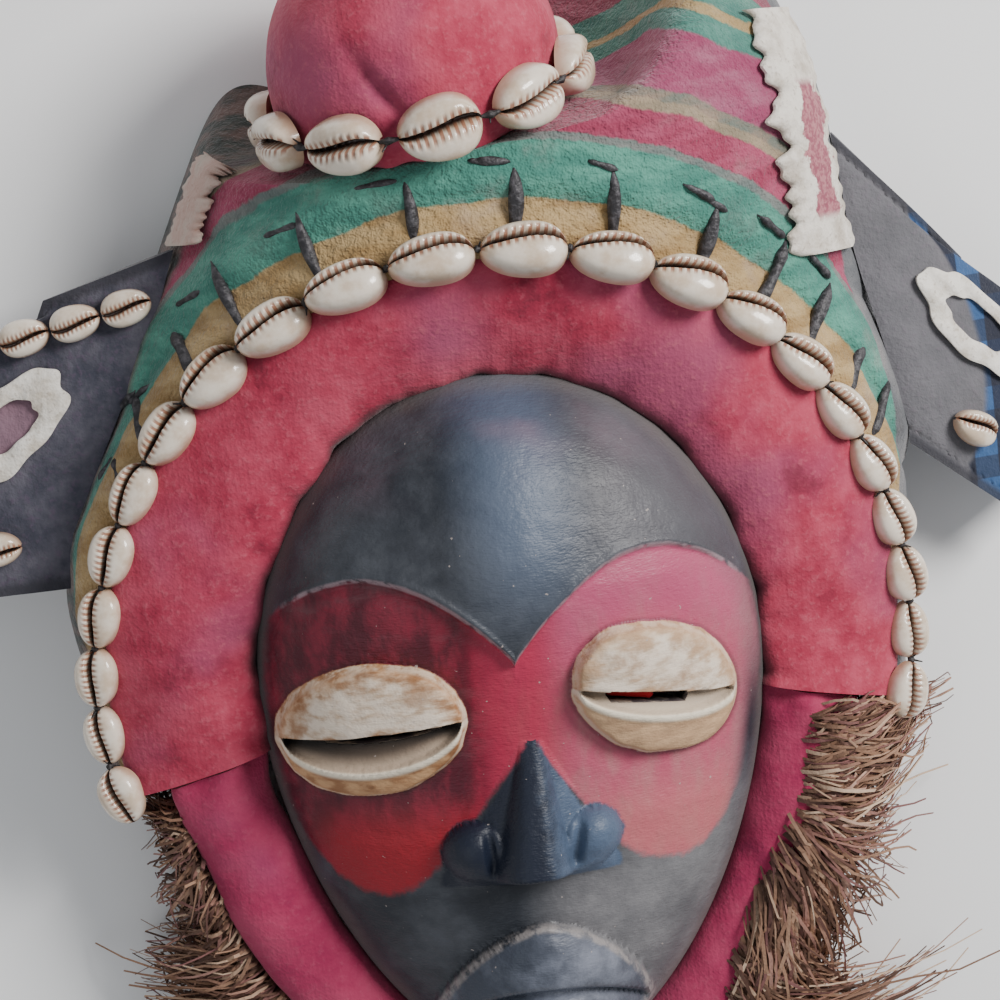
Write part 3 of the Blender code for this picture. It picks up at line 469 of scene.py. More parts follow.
def carve_face(x, y):
    """Height of the carved front, and the values that its paint follows, in millimetres."""
    spots = np.stack([x, y, 0 * x], -1)
    across = np.abs(x)
    z, share = face_dome(x, y)
    inside = 1 - soft_step((share - 0.80) / 0.18)
    wobble = lumps(spots, 0.009, 1) * 0.5 + lumps(spots, 0.004, 2) * 0.5
    brow = y - brow_line(x) + 0.0004 * wobble
    z = carve_brow(y, across, z, brow, inside)
    z, eye, lid, rim = carve_eyes(x, y, z, wobble)
    nose, nose_edge = carve_nose(x, y)
    mouth, lips = carve_lips(x, y)
    z = z + np.maximum(nose, mouth)
    z = z + 0.00025 * lumps(spots, 0.014, 3) * inside + 0.00010 * lumps(spots, 0.004, 4) * inside
    red_right = np.interp(across * 1000, *np.array(RED_RIGHT).T)
    red_left = np.interp(across * 1000, *np.array(RED_LEFT).T)
    patch_low = np.where(x > 0, red_right, red_left) / 1000
    paint_lines = {
        "brow": brow * 1000,
        "patch": (y - patch_low) * 700,
        "eye": eye,
        "lid": lid,
        "scoop_rim": rim,
        "nose": nose_edge,
        "lips": lips,
        "edge": (1 - share) * FACE_WIDTH * 500,
    }
    return z, paint_lines


def slate_coat(f):
    """Slate, paler on the right from wear and painted light, a painted blue forehead highlight, grey at the
    edge.
    """
    slate = f.lay((0.016, 0.019, 0.026), (0.070, 0.076, 0.090), f.near(f.mottle, 0.36, 0.72))
    # Paler slate low on the right cheek: partly worn paint, partly painted light from the right
    pale = f.lay((0.135, 0.132, 0.140), (0.270, 0.260, 0.265), f.near(f.mottle, 0.30, 0.70))
    slate = f.lay(slate, pale, f.times(f.right_half, f.up(-0.030, -0.075), 0.75))
    high = f.up(0.005, 0.050)
    # A painted blue highlight down the forehead's ridge, where light catches it
    ridge = f.near(f.off_line(0.003), 0.024, 0.002)
    slate = f.lay(slate, (0.110, 0.150, 0.225), f.times(ridge, high, 0.62))
    # Paler grey on the right of the forehead: partly worn paint, partly painted light from the right
    slate = f.lay(slate, (0.165, 0.155, 0.170), f.times(f.across(0.008, 0.040), high, 0.45))
    glow = f.near(f.noise(0.045, 3, 0.5, seed=11.0), 0.45, 0.70)
    slate = f.lay(slate, (0.24, 0.14, 0.18), f.times(f.up(0.048, 0.075), glow, 0.6))
    edge_grey = f.near(f.plus(f.field("edge"), f.times(f.mottle, 8)), 9.0, 4.0)
    return f.lay(slate, (0.17, 0.155, 0.145), f.times(edge_grey, 0.55))


def red_coat(f):
    """Red round the eyes, in painted shade as deep crimson on the left and in painted light as pale pink on
    the right.
    """
    deep = f.lay((0.070, 0.004, 0.013), (0.190, 0.012, 0.030), f.near(f.streak, 0.38, 0.66))
    smudge = f.near(f.noise(0.022, 4, 0.6, (0.6, 1.8, 1), 13.0), 0.50, 0.70)
    deep = f.lay(deep, (0.125, 0.045, 0.055), f.times(smudge, 0.7))
    bright_low = f.times(f.up(-0.030, -0.048), f.across(-0.070, -0.056))
    deep = f.lay(deep, (0.30, 0.006, 0.016), f.times(bright_low, 0.9))
    # The pale pink for the right side: the same red in painted light from the right
    faded = f.lay((0.40, 0.075, 0.125), (0.37, 0.135, 0.150), f.near(f.streak, 0.36, 0.74))
    faded = f.lay(faded, (0.44, 0.070, 0.165), f.times(f.up(-0.012, 0.022), 0.55))
    faded = f.lay(faded, (0.50, 0.145, 0.145), f.times(f.up(-0.030, -0.052), 0.6))
    greyed = f.near(f.plus(f.field("edge"), f.times(f.mottle, 10)), 20.0, 9.0)
    faded = f.lay(faded, (0.20, 0.125, 0.135), f.times(greyed, 0.6))
    # Crimson on the left in painted shade, pink on the right in painted light
    red = f.lay(deep, faded, f.across(-0.016, -0.002))
    # Brighter red on the bridge between the eyes: partly red paint, partly a painted highlight on the ridge
    between_eyes = f.near(f.off_line(-0.003), 0.018, 0.004)
    return f.lay(red, (0.38, 0.010, 0.045), f.times(between_eyes, 0.75))


def red_area(f):
    """Where the red lies: under the brow, above its own lower edge and off the wood's edge."""
    below_brow = f.near(f.plus(f.field("brow"), f.uneven), 0.7, -0.9)
    above_low = f.near(f.plus(f.field("patch"), f.uneven), -1.2, 1.2)
    off_edge = f.near(f.plus(f.field("edge"), f.uneven), 0.8, 5.0)
    low_right = f.times(f.up(0.008, -0.030), f.right_half)
    off_edge = f.times(off_edge, f.lay((1, 1, 1), f.near(f.field("edge"), 5.0, 11.0), low_right))
    return f.times(below_brow, above_low, off_edge)


def nose_and_lips(f, colour):
    """Blue-black nose and grey-blue lips over the other coats, with rubbed lip and brow edges."""
    # The nose is painted darker on its left and lighter on its right: painted shade and painted light from
    # the right
    lit_side = f.near(f.plus(f.right_half, f.times(f.fine, 0.6)), 0.6, 1.4)
    nose_paint = f.lay((0.009, 0.013, 0.026), (0.075, 0.108, 0.170), lit_side)
    colour = f.lay(colour, nose_paint, f.near(f.plus(f.field("nose"), f.uneven), -0.8, 0.8))
    lips = f.field("lips")
    lip_paint = f.lay((0.050, 0.060, 0.085), (0.20, 0.22, 0.28), f.near(f.mottle, 0.40, 0.66))
    colour = f.lay(colour, lip_paint, f.times(f.near(lips, 0.02, 0.25), 0.8))
    lip_edge = f.times(f.near(lips, -0.06, 0.08), f.near(lips, 0.26, 0.12))
    colour = f.lay(colour, (0.31, 0.28, 0.27), f.times(lip_edge, f.worn, 0.75))
    brow = f.field("brow")
    line = f.times(f.near(brow, -1.0, -0.1), f.near(brow, 1.5, 0.5), f.worn)
    line = f.times(line, f.near(f.field("edge"), 3.0, 9.0), 0.70)
    return f.lay(colour, (0.38, 0.27, 0.30), line)


def eye_coat(f):
    """Cream over ochre, laid on in strokes, with a shaded scoop and a cream rim under each slit."""
    stroke = f.noise(0.0050, 5, 0.55, (0.6, 1.5, 1), 9.0)
    brushed = f.minus(stroke, 0.5)
    eye = f.field("eye")
    lid = f.field("lid")
    rim = f.field("scoop_rim")
    ochre = f.lay((0.30, 0.140, 0.060), (0.54, 0.315, 0.160), f.near(stroke, 0.35, 0.65))
    brown = f.near(f.noise(0.008, 4, 0.6, seed=2.0), 0.54, 0.78)
    ochre = f.lay(ochre, (0.20, 0.090, 0.040), brown)
    # Lighter ochre on the right eye: painted light from the right
    ochre = f.lay(ochre, (0.62, 0.44, 0.28), f.times(f.right_half, 0.45))
    cream = f.lay((0.46, 0.32, 0.215), (0.72, 0.61, 0.50), f.near(stroke, 0.30, 0.60))
    tan_patches = f.near(f.noise(0.011, 5, 0.6, seed=12.0), 0.48, 0.70)
    cream = f.lay(cream, (0.33, 0.195, 0.115), f.times(tan_patches, 0.80))
    lid_top = f.near(f.plus(lid, f.times(brushed, 8)), -1.0, 1.2)
    # Cream strongest towards each eye's middle, ochre at its edge: the two-tone paint, with a painted
    # highlight on the bulge
    lit = f.near(f.plus(eye, f.times(brushed, 0.8)), 0.02, 0.62)
    colour = f.lay(ochre, cream, f.times(lid_top, lit))
    # The scoop under each slit is painted shade, darkest just under the slit, paler towards its rim and
    # paler in the right eye as painted light
    shade = f.lay((0.090, 0.064, 0.047), (0.50, 0.380, 0.280), f.near(rim, 6.0, 0.3))
    shade = f.lay(shade, (0.62, 0.50, 0.38), f.times(f.right_half, 0.7))
    # A near-black painted shadow just under each lid, fainter in the right eye
    under_lid = f.near(lid, -6.0, -1.6)
    lid_shadow_share = f.lay(under_lid, f.times(under_lid, 0.35), f.right_half)
    shade = f.lay(shade, (0.016, 0.012, 0.010), lid_shadow_share)
    colour = f.lay(colour, shade, f.times(f.near(rim, 0.0, 0.7), f.near(lid, 0.5, -0.1)))
    # A cream rim on the ledge below the scoop: partly cream paint, partly a painted highlight on the ledge
    rim_cream_and_highlight = f.times(f.near(rim, -2.6, -1.0), f.near(rim, 0.7, 0.0), f.near(lid, 0.3, -0.5))
    colour = f.lay(colour, (0.78, 0.70, 0.56), f.times(rim_cream_and_highlight, 0.9))
    rough_edge = f.times(f.near(eye, 0.00, 0.03), f.near(eye, 0.17, 0.08))
    return f.lay(colour, (0.70, 0.56, 0.42), f.times(rough_edge, f.worn, 0.8))


def painted_wood():
    """Dark slate paint with red eye fields, cream and ochre eyes, rubbed through on the edges."""
    f = Finish("painted_wood", 0.42)
    f.shader.inputs["Specular IOR Level"].default_value = 0.36
    f.mottle = f.noise(0.030, 5, 0.62)
    f.fine = f.noise(0.0045, 5, 0.7, seed=3.0)
    f.streak = f.noise(0.012, 5, 0.62, (1.7, 0.75, 1), 7.0)
    f.worn = f.near(f.noise(0.0065, 5, 0.7, seed=5.0), 0.36, 0.56)
    f.uneven = f.times(f.minus(f.fine, 0.5), 3.2)
    f.right_half = f.across(-0.010, 0.012)
    colour = f.lay(slate_coat(f), red_coat(f), red_area(f))
    colour = nose_and_lips(f, colour)
    eye = f.field("eye")
    on_eye = f.near(f.plus(eye, f.times(f.minus(f.fine, 0.5), 0.10)), -0.01, 0.03)
    colour = f.lay(colour, eye_coat(f), on_eye)
    around = f.times(f.near(eye, -0.16, -0.02), f.near(on_eye, 0.5, 0.0))
    colour = f.lay(colour, (0.05, 0.012, 0.014), f.times(around, 0.45))
    chips = f.near(f.noise(0.0022, 3, 0.5, seed=21.0), 0.745, 0.765)
    f.paint(f.lay(colour, (0.40, 0.34, 0.31), f.times(chips, 0.7)))
    f.rough(f.plus(f.times(f.fine, 0.25), f.plus(f.times(on_eye, 0.20), 0.34)))
    f.raise_by(f.fine, 0.00045)
    f.raise_by(f.noise(0.0012, 3, 0.6, (0.5, 2.2, 1), 4.0), 0.00015)
    return f.material


def slit_level(eye, x):
    """How far up the face an eye's slit lies."""
    centre_x, centre_y, _, _, slope, _ = eye
    return centre_y + slope * (x - centre_x) - SLIT_BELOW


def cut_away(piece, cutter):
    """Cuts one body out of a piece."""
    cutting = piece.modifiers.new("cut", "BOOLEAN")
    cutting.operation = "DIFFERENCE"
    cutting.object = cutter
    cutting.solver = "EXACT"
    bpy.context.view_layer.update()
    shape = piece.evaluated_get(bpy.context.evaluated_depsgraph_get())
    done = bpy.data.meshes.new_from_object(shape)
    piece.modifiers.clear()
    piece.data = done
    bpy.data.objects.remove(cutter)


angles = np.linspace(0, 2 * np.pi, 440, endpoint=False)
rings = np.linspace(0, 1, 176)[1:]
x_rim, y_rim = face_outline(angles)
x = rings[:, None] * x_rim
y = FACE_WIDEST + rings[:, None] * (y_rim - FACE_WIDEST)
z, paint_lines = carve_face(x, y)
pole_z, pole_lines = carve_face(np.array([0.0]), np.array([FACE_WIDEST]))
outer = np.stack([x, y, z], -1)
outer[-1, :, 2] += -0.0012 + 0.0008 * lumps(outer[-1], 0.012, 8)
edge = outer[-1:] - (0, 0, FACE_EDGE_DEPTH)
x_in, y_in = face_outline(angles, -FACE_WALL)
inner_rings = np.linspace(0, 1, 15)[1:]
x = inner_rings[:, None] * x_in
y = FACE_WIDEST + inner_rings[:, None] * (y_in - FACE_WIDEST)
inner_z = face_dome(x, y)[0] - FACE_WALL
inner_z[-1] = edge[0, :, 2]
inner = np.stack([x, y, inner_z], -1)
inner[:-1, :, 2] += 0.0006 * lumps(inner[:-1], 0.010, 6)
inner_pole_z = face_dome(np.zeros(1), np.full(1, FACE_WIDEST))[0][0] - FACE_WALL
poles = [(0, FACE_WIDEST, pole_z[0]), (0, FACE_WIDEST, inner_pole_z)]
points = np.concatenate([outer.reshape(-1, 3), edge[0], inner.reshape(-1, 3), poles])
columns = len(angles)
edge_row = len(rings) * columns
inner_start = edge_row + columns
inner_rim = inner_start + (len(inner_rings) - 1) * columns
faces = grid_faces(len(rings) + 1, columns, 0, True)
faces += grid_faces(len(inner_rings), columns, inner_start, True)
for j in range(columns):
    after = (j + 1) % columns
    faces.append((len(points) - 2, j, after))
    faces.append((len(points) - 1, inner_start + j, inner_start + after))
    faces.append((edge_row + j, edge_row + after, inner_rim + after, inner_rim + j))
# On the edge and the hidden side these values leave the paint plain slate
PLAIN = {"brow": 9, "patch": -9, "eye": -9, "lid": 9, "scoop_rim": 9, "nose": -30, "lips": -1, "edge": 0}
fields = {}
for name, plain in PLAIN.items():
    hidden = np.full(len(points) - edge_row, plain)
    fields[name] = np.concatenate([paint_lines[name].ravel(), hidden])
    fields[name][-2] = pole_lines[name][0]
carved = new_piece("carved_face", points, faces, painted_wood(), fields, 50)
along = np.linspace(-1, 1, 21)
# Each pierced slit: its middle across, its half length and its half height along it
SLITS = (
    (-0.0415, 0.0165, 0.0017 * (1 - 0.85 * along**2)),
    (0.0345, 0.0125, 0.0021 * np.clip((1 - along**2) * 8, 0.05, 1)),
)
for eye, (slit_x, half_slit, half) in zip(EYES, SLITS):
    x = slit_x + half_slit * along
    y = slit_level(eye, x)
    ring = np.concatenate([np.stack([x, y - half], -1), np.stack([x, y + half], -1)[::-1]])
    bar = np.array([[(px, py, pz) for px, py in ring] for pz in (0.02, 0.14)])
    cut_away(carved, new_piece("eye_slit", *closed_tube(bar), carved.data.materials[0]))
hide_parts("wooden_face")
# A scrap of red cloth shows behind the right slit
red_scrap = Finish("red_wad", 0.9)
red_scrap.paint((0.62, 0.012, 0.020))
along = np.linspace(-1, 1, 15)
x = 0.0295 + 0.0070 * along
y = slit_level(EYES[1], x)
level = carve_face(x, y)[0].min() - 0.0028
turns = np.linspace(0, 2 * np.pi, 12, endpoint=False)
thick = 0.0016 * np.clip((1 - along**2) * 4, 0.2, 1)[:, None] ** 0.5
y_ring = y[:, None] + thick * np.cos(turns)
rings = np.stack([x[:, None] + 0 * y_ring, y_ring, level + thick * np.sin(turns)], -1)
wad = new_piece("red_wad", *closed_tube(rings), red_scrap.material)


# Face band
# A padded border of red cotton sewn between the wood and the cap's edge. Its inner hem is turned
# under and pinched by the sewing, so it waves, and the cloth has faded to pink and mauve in places.

CAP_OPENING_RADIUS = 0.118
CAP_HALF_WIDTH = 0.1300
CAP_SHOULDER = 0.050
CAP_CROWN = 0.215
CAP_SKIRT = -0.032
CAP_SKIRT_HALF_WIDTH = 0.1225
CAP_SIDE_HEIGHT = 0.060
CAP_CROWN_HEIGHT = 0.100
CAP_LEAN = 0.16
CAP_LEAN_START = 0.030
CAP_TAPER = 0.40
BAND_END_DEG = -14.0
GAP = 0.0004


def cap_middle(y):
    """The cap leans to the right towards its crown."""
    return CAP_LEAN * np.maximum(y - CAP_LEAN_START, 0)


def cap_half_width(y, inset=0.0):
    share = np.clip((y - CAP_SHOULDER) / (CAP_CROWN - inset - CAP_SHOULDER), 0, 1)
    above = (1 - CAP_TAPER * share) * np.sqrt(1 - share**10)
    low = soft_step((CAP_SHOULDER - y) / (CAP_SHOULDER - CAP_SKIRT))
    width = CAP_HALF_WIDTH - (CAP_HALF_WIDTH - CAP_SKIRT_HALF_WIDTH) * low
    return (width - inset) * above


def cap_height(y, inset=0.0):
    share = np.clip((y - CAP_SHOULDER) / (CAP_CROWN - inset - CAP_SHOULDER), 0, 1)
    rise = soft_step((y - CAP_LEAN_START) / (CAP_CROWN - 2 * CAP_LEAN_START))
    height = CAP_SIDE_HEIGHT + (CAP_CROWN_HEIGHT - CAP_SIDE_HEIGHT) * rise
    return (height - inset) * np.sqrt(1 - share**4)


def cap_squareness(y):
    """Power of the cap's cross section: boxy at its skirt, rounder at its crown."""
    return 5.0 - 2.6 * soft_step((y - 0.010) / 0.110)


def cap_front(x, y):
    """Height of the cap's cloth over the floor."""
    n = cap_squareness(y)
    share = np.clip(np.abs(x - cap_middle(y)) / cap_half_width(y), 0, 1)
    return cap_height(y) * (1 - share**n) ** (1 / n)


def round_points(radius, angle, height):
    """Points at a distance and an angle from the mask's middle."""
    return np.stack([radius * np.cos(angle), radius * np.sin(angle), height + 0 * radius * angle], -1)


def rim_point(angle, radius):
    """A place on the cap's front near its opening."""
    x = radius * np.cos(angle)
    y = radius * np.sin(angle)
    return np.stack([x, y, cap_front(x, y)], -1)


OUTLINE_TURNS = np.linspace(0, 2 * np.pi, 721)
OUTLINE_X, OUTLINE_Y = face_outline(OUTLINE_TURNS)
OUTLINE_ROUND = np.unwrap(np.arctan2(OUTLINE_Y, OUTLINE_X))


def outline_reach(angle):
    """Distance from the mask's middle to the wood's outline along an angle."""
    target = (angle - OUTLINE_ROUND[0]) % (2 * math.pi) + OUTLINE_ROUND[0]
    return np.interp(target, OUTLINE_ROUND, np.hypot(OUTLINE_X, OUTLINE_Y))


def red_cotton(name, share_field=None, magenta=0.0):
    """Faded red cotton: crimson, pink and mauve patches, a fine weave, and painted shade where a share
    field is low.
    """
    f = Finish(name, 0.9, sheen=0.10)
    broad = f.noise(0.060, 3, 0.5, seed=1.0)
    mottle = f.noise(0.018, 5, 0.65, seed=4.0)
    grain = f.noise(0.0022, 4, 0.7, seed=2.0)
    colour = f.lay((0.31, 0.013, 0.043), (0.46, 0.058, 0.103), f.near(mottle, 0.34, 0.68))
    colour = f.lay(colour, (0.30, 0.060, 0.130), f.times(f.near(broad, 0.48, 0.66), 0.7))
    colour = f.lay(colour, (0.50, 0.115, 0.155), f.times(f.near(grain, 0.50, 0.75), 0.38))
    colour = f.lay(colour, (0.13, 0.006, 0.022), f.times(f.near(mottle, 0.43, 0.26), 0.65))
    if share_field:
        # Painted shade in the gap at the band's inner hem, where it meets the wood and the share across the
        # band is near 0
        worn = f.field(share_field)
        gap_shade = f.near(f.plus(worn, f.times(mottle, 0.10)), 0.17, 0.04)
        colour = f.lay(colour, (0.075, 0.014, 0.024), f.times(gap_shade, 0.85))
    if magenta:
        colour = f.lay(colour, (0.27, 0.008, 0.085), magenta)
    f.paint(colour)
    weave = []
    for direction in "XY":
        thread = f.tree.nodes.new("ShaderNodeTexWave")
        f.join(f.place, thread.inputs["Vector"])
        thread.bands_direction = direction
        thread.inputs["Scale"].default_value = 1 / 0.0046
        thread.inputs["Distortion"].default_value = 1.2
        weave.append(thread.outputs["Fac"])
    f.raise_by(f.maths("MAXIMUM", *weave), 0.00004)
    f.raise_by(grain, 0.0004)
    return f.material


end = math.radians(BAND_END_DEG)
turns = np.linspace(end, math.pi - end, 421)
across_top = np.linspace(0, 1, 37)
across_low = np.linspace(1, 0, 13)[1:]
inner_reach = outline_reach(turns)
pinch = lumps(np.stack([turns * 9, 0 * turns, 0 * turns], -1), 1.0, 12)
pinch = np.where(pinch > 0, 1.0, -0.6) * np.abs(pinch) ** 1.3
inner_reach = inner_reach - 0.0020 + 0.0042 * pinch
wood_z = face_rim_height(inner_reach * np.sin(turns))
low = wood_z + 0.0030
high = rim_point(turns, CAP_OPENING_RADIUS)[:, 2] - 0.0008
span = (CAP_OPENING_RADIUS + 0.0015 - inner_reach)[:, None]
radius_top = inner_reach[:, None] + span * across_top
spots = round_points(radius_top, turns[:, None], 0.0)
arch = np.sin(np.pi * across_top)
lift = low[:, None] + (high - low)[:, None] * across_top**1.3
puff = 0.0065 * arch**0.62
roll_edge = 0.0032 * (1 - (1 - np.clip(across_top / 0.10, 0, 1)) ** 2) ** 0.5
tuck = np.cos(turns * 34 + 2.2 * pinch) * 0.5 + 0.5
ripple = -0.0011 * (tuck**3)[:, None] * np.exp(-((across_top / 0.22) ** 2))
ripple = ripple + 0.0011 * lumps(spots, 0.024, 13) * arch + 0.0005 * lumps(spots, 0.009, 14) * arch
top = lift + puff + roll_edge - 0.0022 + ripple
bottom = low[:, None] + (high - low)[:, None] * across_low - 0.0095
radius = np.concatenate([radius_top, inner_reach[:, None] + span * across_low], 1)
heights = np.concatenate([top, bottom], 1)
points, faces = closed_tube(round_points(radius, turns[:, None], heights))
share = np.tile(np.concatenate([across_top, across_low * 0]), (len(turns), 1))
band_cotton = red_cotton("red_cotton_band", "share")
band = new_piece("padded_band", points, faces, band_cotton, {"share": share})
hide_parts("red_face_band")


# Jaw roll
# A stuffed roll of the same red cotton, sewn round the jaw from one end of the band to the other.
# It is drawn in by its stitches every few centimetres and gathered in a fold at its left end.

JAW_ROLL_WIDTH = 0.030
JAW_ROLL_THICKNESS = 0.018

jaw_gap = 3 * GAP / CAP_OPENING_RADIUS
turns = np.linspace(math.pi - end + jaw_gap, 2 * math.pi + end - jaw_gap, 361)
ring = np.linspace(0, 2 * np.pi, 40, endpoint=False)
inner_reach = outline_reach(turns) + 0.0006
middle_z = face_rim_height(inner_reach * np.sin(turns)) - FACE_EDGE_DEPTH / 4
waist = 1 - 0.10 * np.exp(-(((np.mod(turns * 11, 2 * np.pi) - np.pi) / 0.5) ** 2))
ends = np.minimum(turns - turns[0], turns[-1] - turns)
waist = waist * (0.82 + 0.18 * soft_step(ends / 0.05))
radii = inner_reach[:, None] + JAW_ROLL_WIDTH / 2 * (1 + np.cos(ring)) * (0.95 + 0.05 * waist[:, None])
heights = middle_z[:, None] + JAW_ROLL_THICKNESS / 2 * np.sin(ring) * waist[:, None] * 1.10
spots = round_points(radii, turns[:, None], heights)
fold = np.sin(ring * 5 + 1.5 * np.sin(turns * 9)[:, None])
gather = 0.0013 * fold * np.exp(-((ends / 0.10) ** 2))[:, None]
swell = gather + 0.0012 * lumps(spots, 0.020, 15) + 0.0005 * lumps(spots, 0.007, 16)
outward = round_points(np.cos(ring), turns[:, None], np.sin(ring))
points, faces = closed_tube(spots + outward * swell[..., None])
jaw_roll = new_piece("jaw_roll", points, faces, red_cotton("red_cotton_roll", None, 0.45))
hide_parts("chin_band")


# Cap
# A hood of striped cotton over a stiff lining, open at the back. The stripes run round the opening:
# ochre, green, crimson, tan, mauve and green again, with plain grey cloth down the right side.

CAP_WALL = 0.0035
KNOT_RADIUS = 0.042
KNOT_SEAT = np.array((-0.007, 0.157, 0.0515))
KNOT_LEAN_LEFT_DEG = 8.0
KNOT_LEAN_FRONT_DEG = 14.0
KNOT_RISE = 0.019
KNOT_PLUG_DEPTH = 0.014
KNOT_SHELL_LENGTH = 0.0235

lean_left = math.radians(KNOT_LEAN_LEFT_DEG)
lean_front = math.radians(KNOT_LEAN_FRONT_DEG)
knot_up = np.array((-math.sin(lean_left), math.cos(lean_left), math.tan(lean_front)))
knot_up = knot_up / np.linalg.norm(knot_up)
knot_across = np.cross(knot_up, (0, 0, 1))
knot_across = knot_across / np.linalg.norm(knot_across)
knot_front = np.cross(knot_across, knot_up)


def grid_edge(rows, columns):
    """The points of a grid's edge, once round."""
    edge = [(0, j) for j in range(columns)] + [(i, columns - 1) for i in range(1, rows)]
    edge += [(rows - 1, j) for j in range(columns - 2, -1, -1)] + [(i, 0) for i in range(rows - 2, 0, -1)]
    return [i * columns + j for i, j in edge]


def ring_wall(upper, lower):
    """Faces between two closed rings of points."""
    corners = zip(upper, upper[1:] + upper[:1], lower, lower[1:] + lower[:1])
    return [(b, a, low_a, low_b) for a, b, low_a, low_b in corners]


def closed_slab(front, back_side):
    """Points and faces of one closed body between two grids of the same size."""
    rows, columns = front.shape[:2]
    size = rows * columns
    faces = grid_faces(rows, columns)
    faces += [quad[::-1] for quad in grid_faces(rows, columns, size)]
    ring = grid_edge(rows, columns)
    faces += ring_wall(ring, [i + size for i in ring])
    return np.concatenate([front.reshape(-1, 3), back_side.reshape(-1, 3)]), faces


def seat_dent(points, inset=0.0):
    """Presses the cloth down to a flat seat round the topknot's foot."""
    offset = points - KNOT_SEAT + knot_up * inset
    height = offset @ knot_up
    slid = offset - (height / knot_up[1])[..., None] * np.array((0, 1, 0))
    reach = KNOT_RADIUS + KNOT_SHELL_LENGTH / 2
    near = 1 - soft_step((np.linalg.norm(slid, axis=-1) - reach) / (0.6 * reach))
    dented = points.copy()
    dented[..., 1] -= np.maximum(height, 0) * near / knot_up[1]
    return dented


def cap_surface(y, turn, inset=0.0):
    """Points of the cap across one row, from its left foot over the front to its right foot."""
    power = 2 / cap_squareness(y)
    c = np.cos(turn)
    x = cap_middle(y) - cap_half_width(y, inset) * np.sign(c) * np.abs(c) ** power
    z = cap_height(y, inset) * np.abs(np.sin(turn)) ** power
    return seat_dent(np.stack([x, y + 0 * x, z], -1), inset)


def striped_cotton():
    """Stripes that run round the opening, plain cloth at the sides, and soiling over all."""
    f = Finish("striped_cotton", 0.88, sheen=0.2)
    mottle = f.noise(0.020, 5, 0.62, seed=6.0)
    grain = f.noise(0.0024, 4, 0.7, seed=8.0)
    streak = f.noise(0.012, 4, 0.6, (0.7, 2.0, 1), 3.0)
    wavy = f.times(f.minus(f.noise(0.022, 3, 0.5, seed=9.0), 0.5), 5.0)
    reach = f.plus(f.field("reach"), wavy)
    reach = f.plus(reach, f.times(f.minus(grain, 0.5), 1.6))
    # Millimetres out from the opening, and the colour from there on
    stripes = (
        (18.0, (0.040, 0.180, 0.137), (0.085, 0.290, 0.217)),
        (34.0, (0.12, 0.15, 0.14), (0.18, 0.19, 0.175)),
        (36.5, (0.26, 0.025, 0.065), (0.36, 0.060, 0.120)),
        (46.0, (0.22, 0.175, 0.115), (0.32, 0.240, 0.160)),
        (49.0, (0.12, 0.14, 0.115), (0.26, 0.180, 0.130)),
        (52.0, (0.26, 0.035, 0.095), (0.33, 0.095, 0.160)),
        (70.0, (0.030, 0.140, 0.110), (0.070, 0.210, 0.165)),
        (76.5, (0.32, 0.215, 0.090), (0.40, 0.290, 0.140)),
        (79.5, (0.035, 0.145, 0.115), (0.075, 0.210, 0.160)),
        (90.0, (0.20, 0.030, 0.060), (0.28, 0.065, 0.100)),
    )
    colour = f.lay((0.30, 0.185, 0.070), (0.44, 0.305, 0.145), f.near(streak, 0.35, 0.65))
    for start, dark, light in stripes:
        band_colour = f.lay(dark, light, f.near(streak, 0.36, 0.66))
        colour = f.lay(colour, band_colour, f.near(reach, start - 0.45, start + 0.45))
    # Dark grey-green cloth on the cap's left side and left foot, partly its own colour, partly painted
    # shade on the side turned from the light
    left = f.times(f.near(f.field("turn"), 1.10, 0.75), f.near(reach, 46.0, 52.0))
    dark_cloth_and_shade = f.lay((0.045, 0.055, 0.048), (0.16, 0.105, 0.090), f.near(streak, 0.40, 0.62))
    colour = f.lay(colour, dark_cloth_and_shade, f.times(left, 0.85))
    right_side = f.near(f.plus(f.field("turn"), f.times(mottle, 0.06)), 2.66, 2.68)
    grey = f.lay((0.10, 0.105, 0.115), (0.19, 0.185, 0.19), f.near(mottle, 0.35, 0.65))
    colour = f.lay(colour, grey, right_side)
    left_foot = f.near(f.field("turn"), 0.42, 0.36)
    colour = f.lay(colour, dark_cloth_and_shade, left_foot)
    faded = f.times(f.near(mottle, 0.55, 0.78), 0.35)
    colour = f.lay(colour, (0.34, 0.27, 0.25), faded)
    soiled = f.times(f.near(mottle, 0.44, 0.24), 0.5)
    colour = f.lay(colour, (0.06, 0.05, 0.05), soiled)
    lining = f.field("inside")
    colour = f.lay(colour, (0.16, 0.12, 0.085), lining)
    f.paint(colour)
    f.raise_by(f.near(grain, 0.3, 0.7), 0.0004)
    f.raise_by(f.noise(0.0007, 2, 0.5, seed=5.0), 0.00025)
    return f.material


turns = np.linspace(0, np.pi, 211)
shares = np.linspace(0, 1, 121)
rows = CAP_SKIRT + (CAP_CROWN - CAP_SKIRT) * np.sin(np.pi / 2 * shares) ** 0.9
inner_rows = CAP_SKIRT + (CAP_CROWN - CAP_WALL - CAP_SKIRT) * np.sin(np.pi / 2 * shares) ** 0.9
outer = np.array([cap_surface(y, turns) for y in rows])
reach = np.hypot(outer[..., 0], outer[..., 1]) - CAP_OPENING_RADIUS
side_fall = np.maximum(0.055 - outer[..., 2], 0) * 0.5
hem = soft_step((outer[..., 2] - 0.004) / 0.012)
wrinkle = 0.0011 * lumps(outer, 0.030, 21) + 0.0006 * lumps(outer, 0.011, 22)
bearing = np.arctan2(outer[..., 1], outer[..., 0])
run = lumps(np.stack([reach * 3.0, bearing * 0.04, 0 * reach], -1), 0.010, 23)
seam = -0.0009 * hill(reach, 0.0165, 0.0022) - 0.0008 * hill(reach, 0.0340, 0.0020)
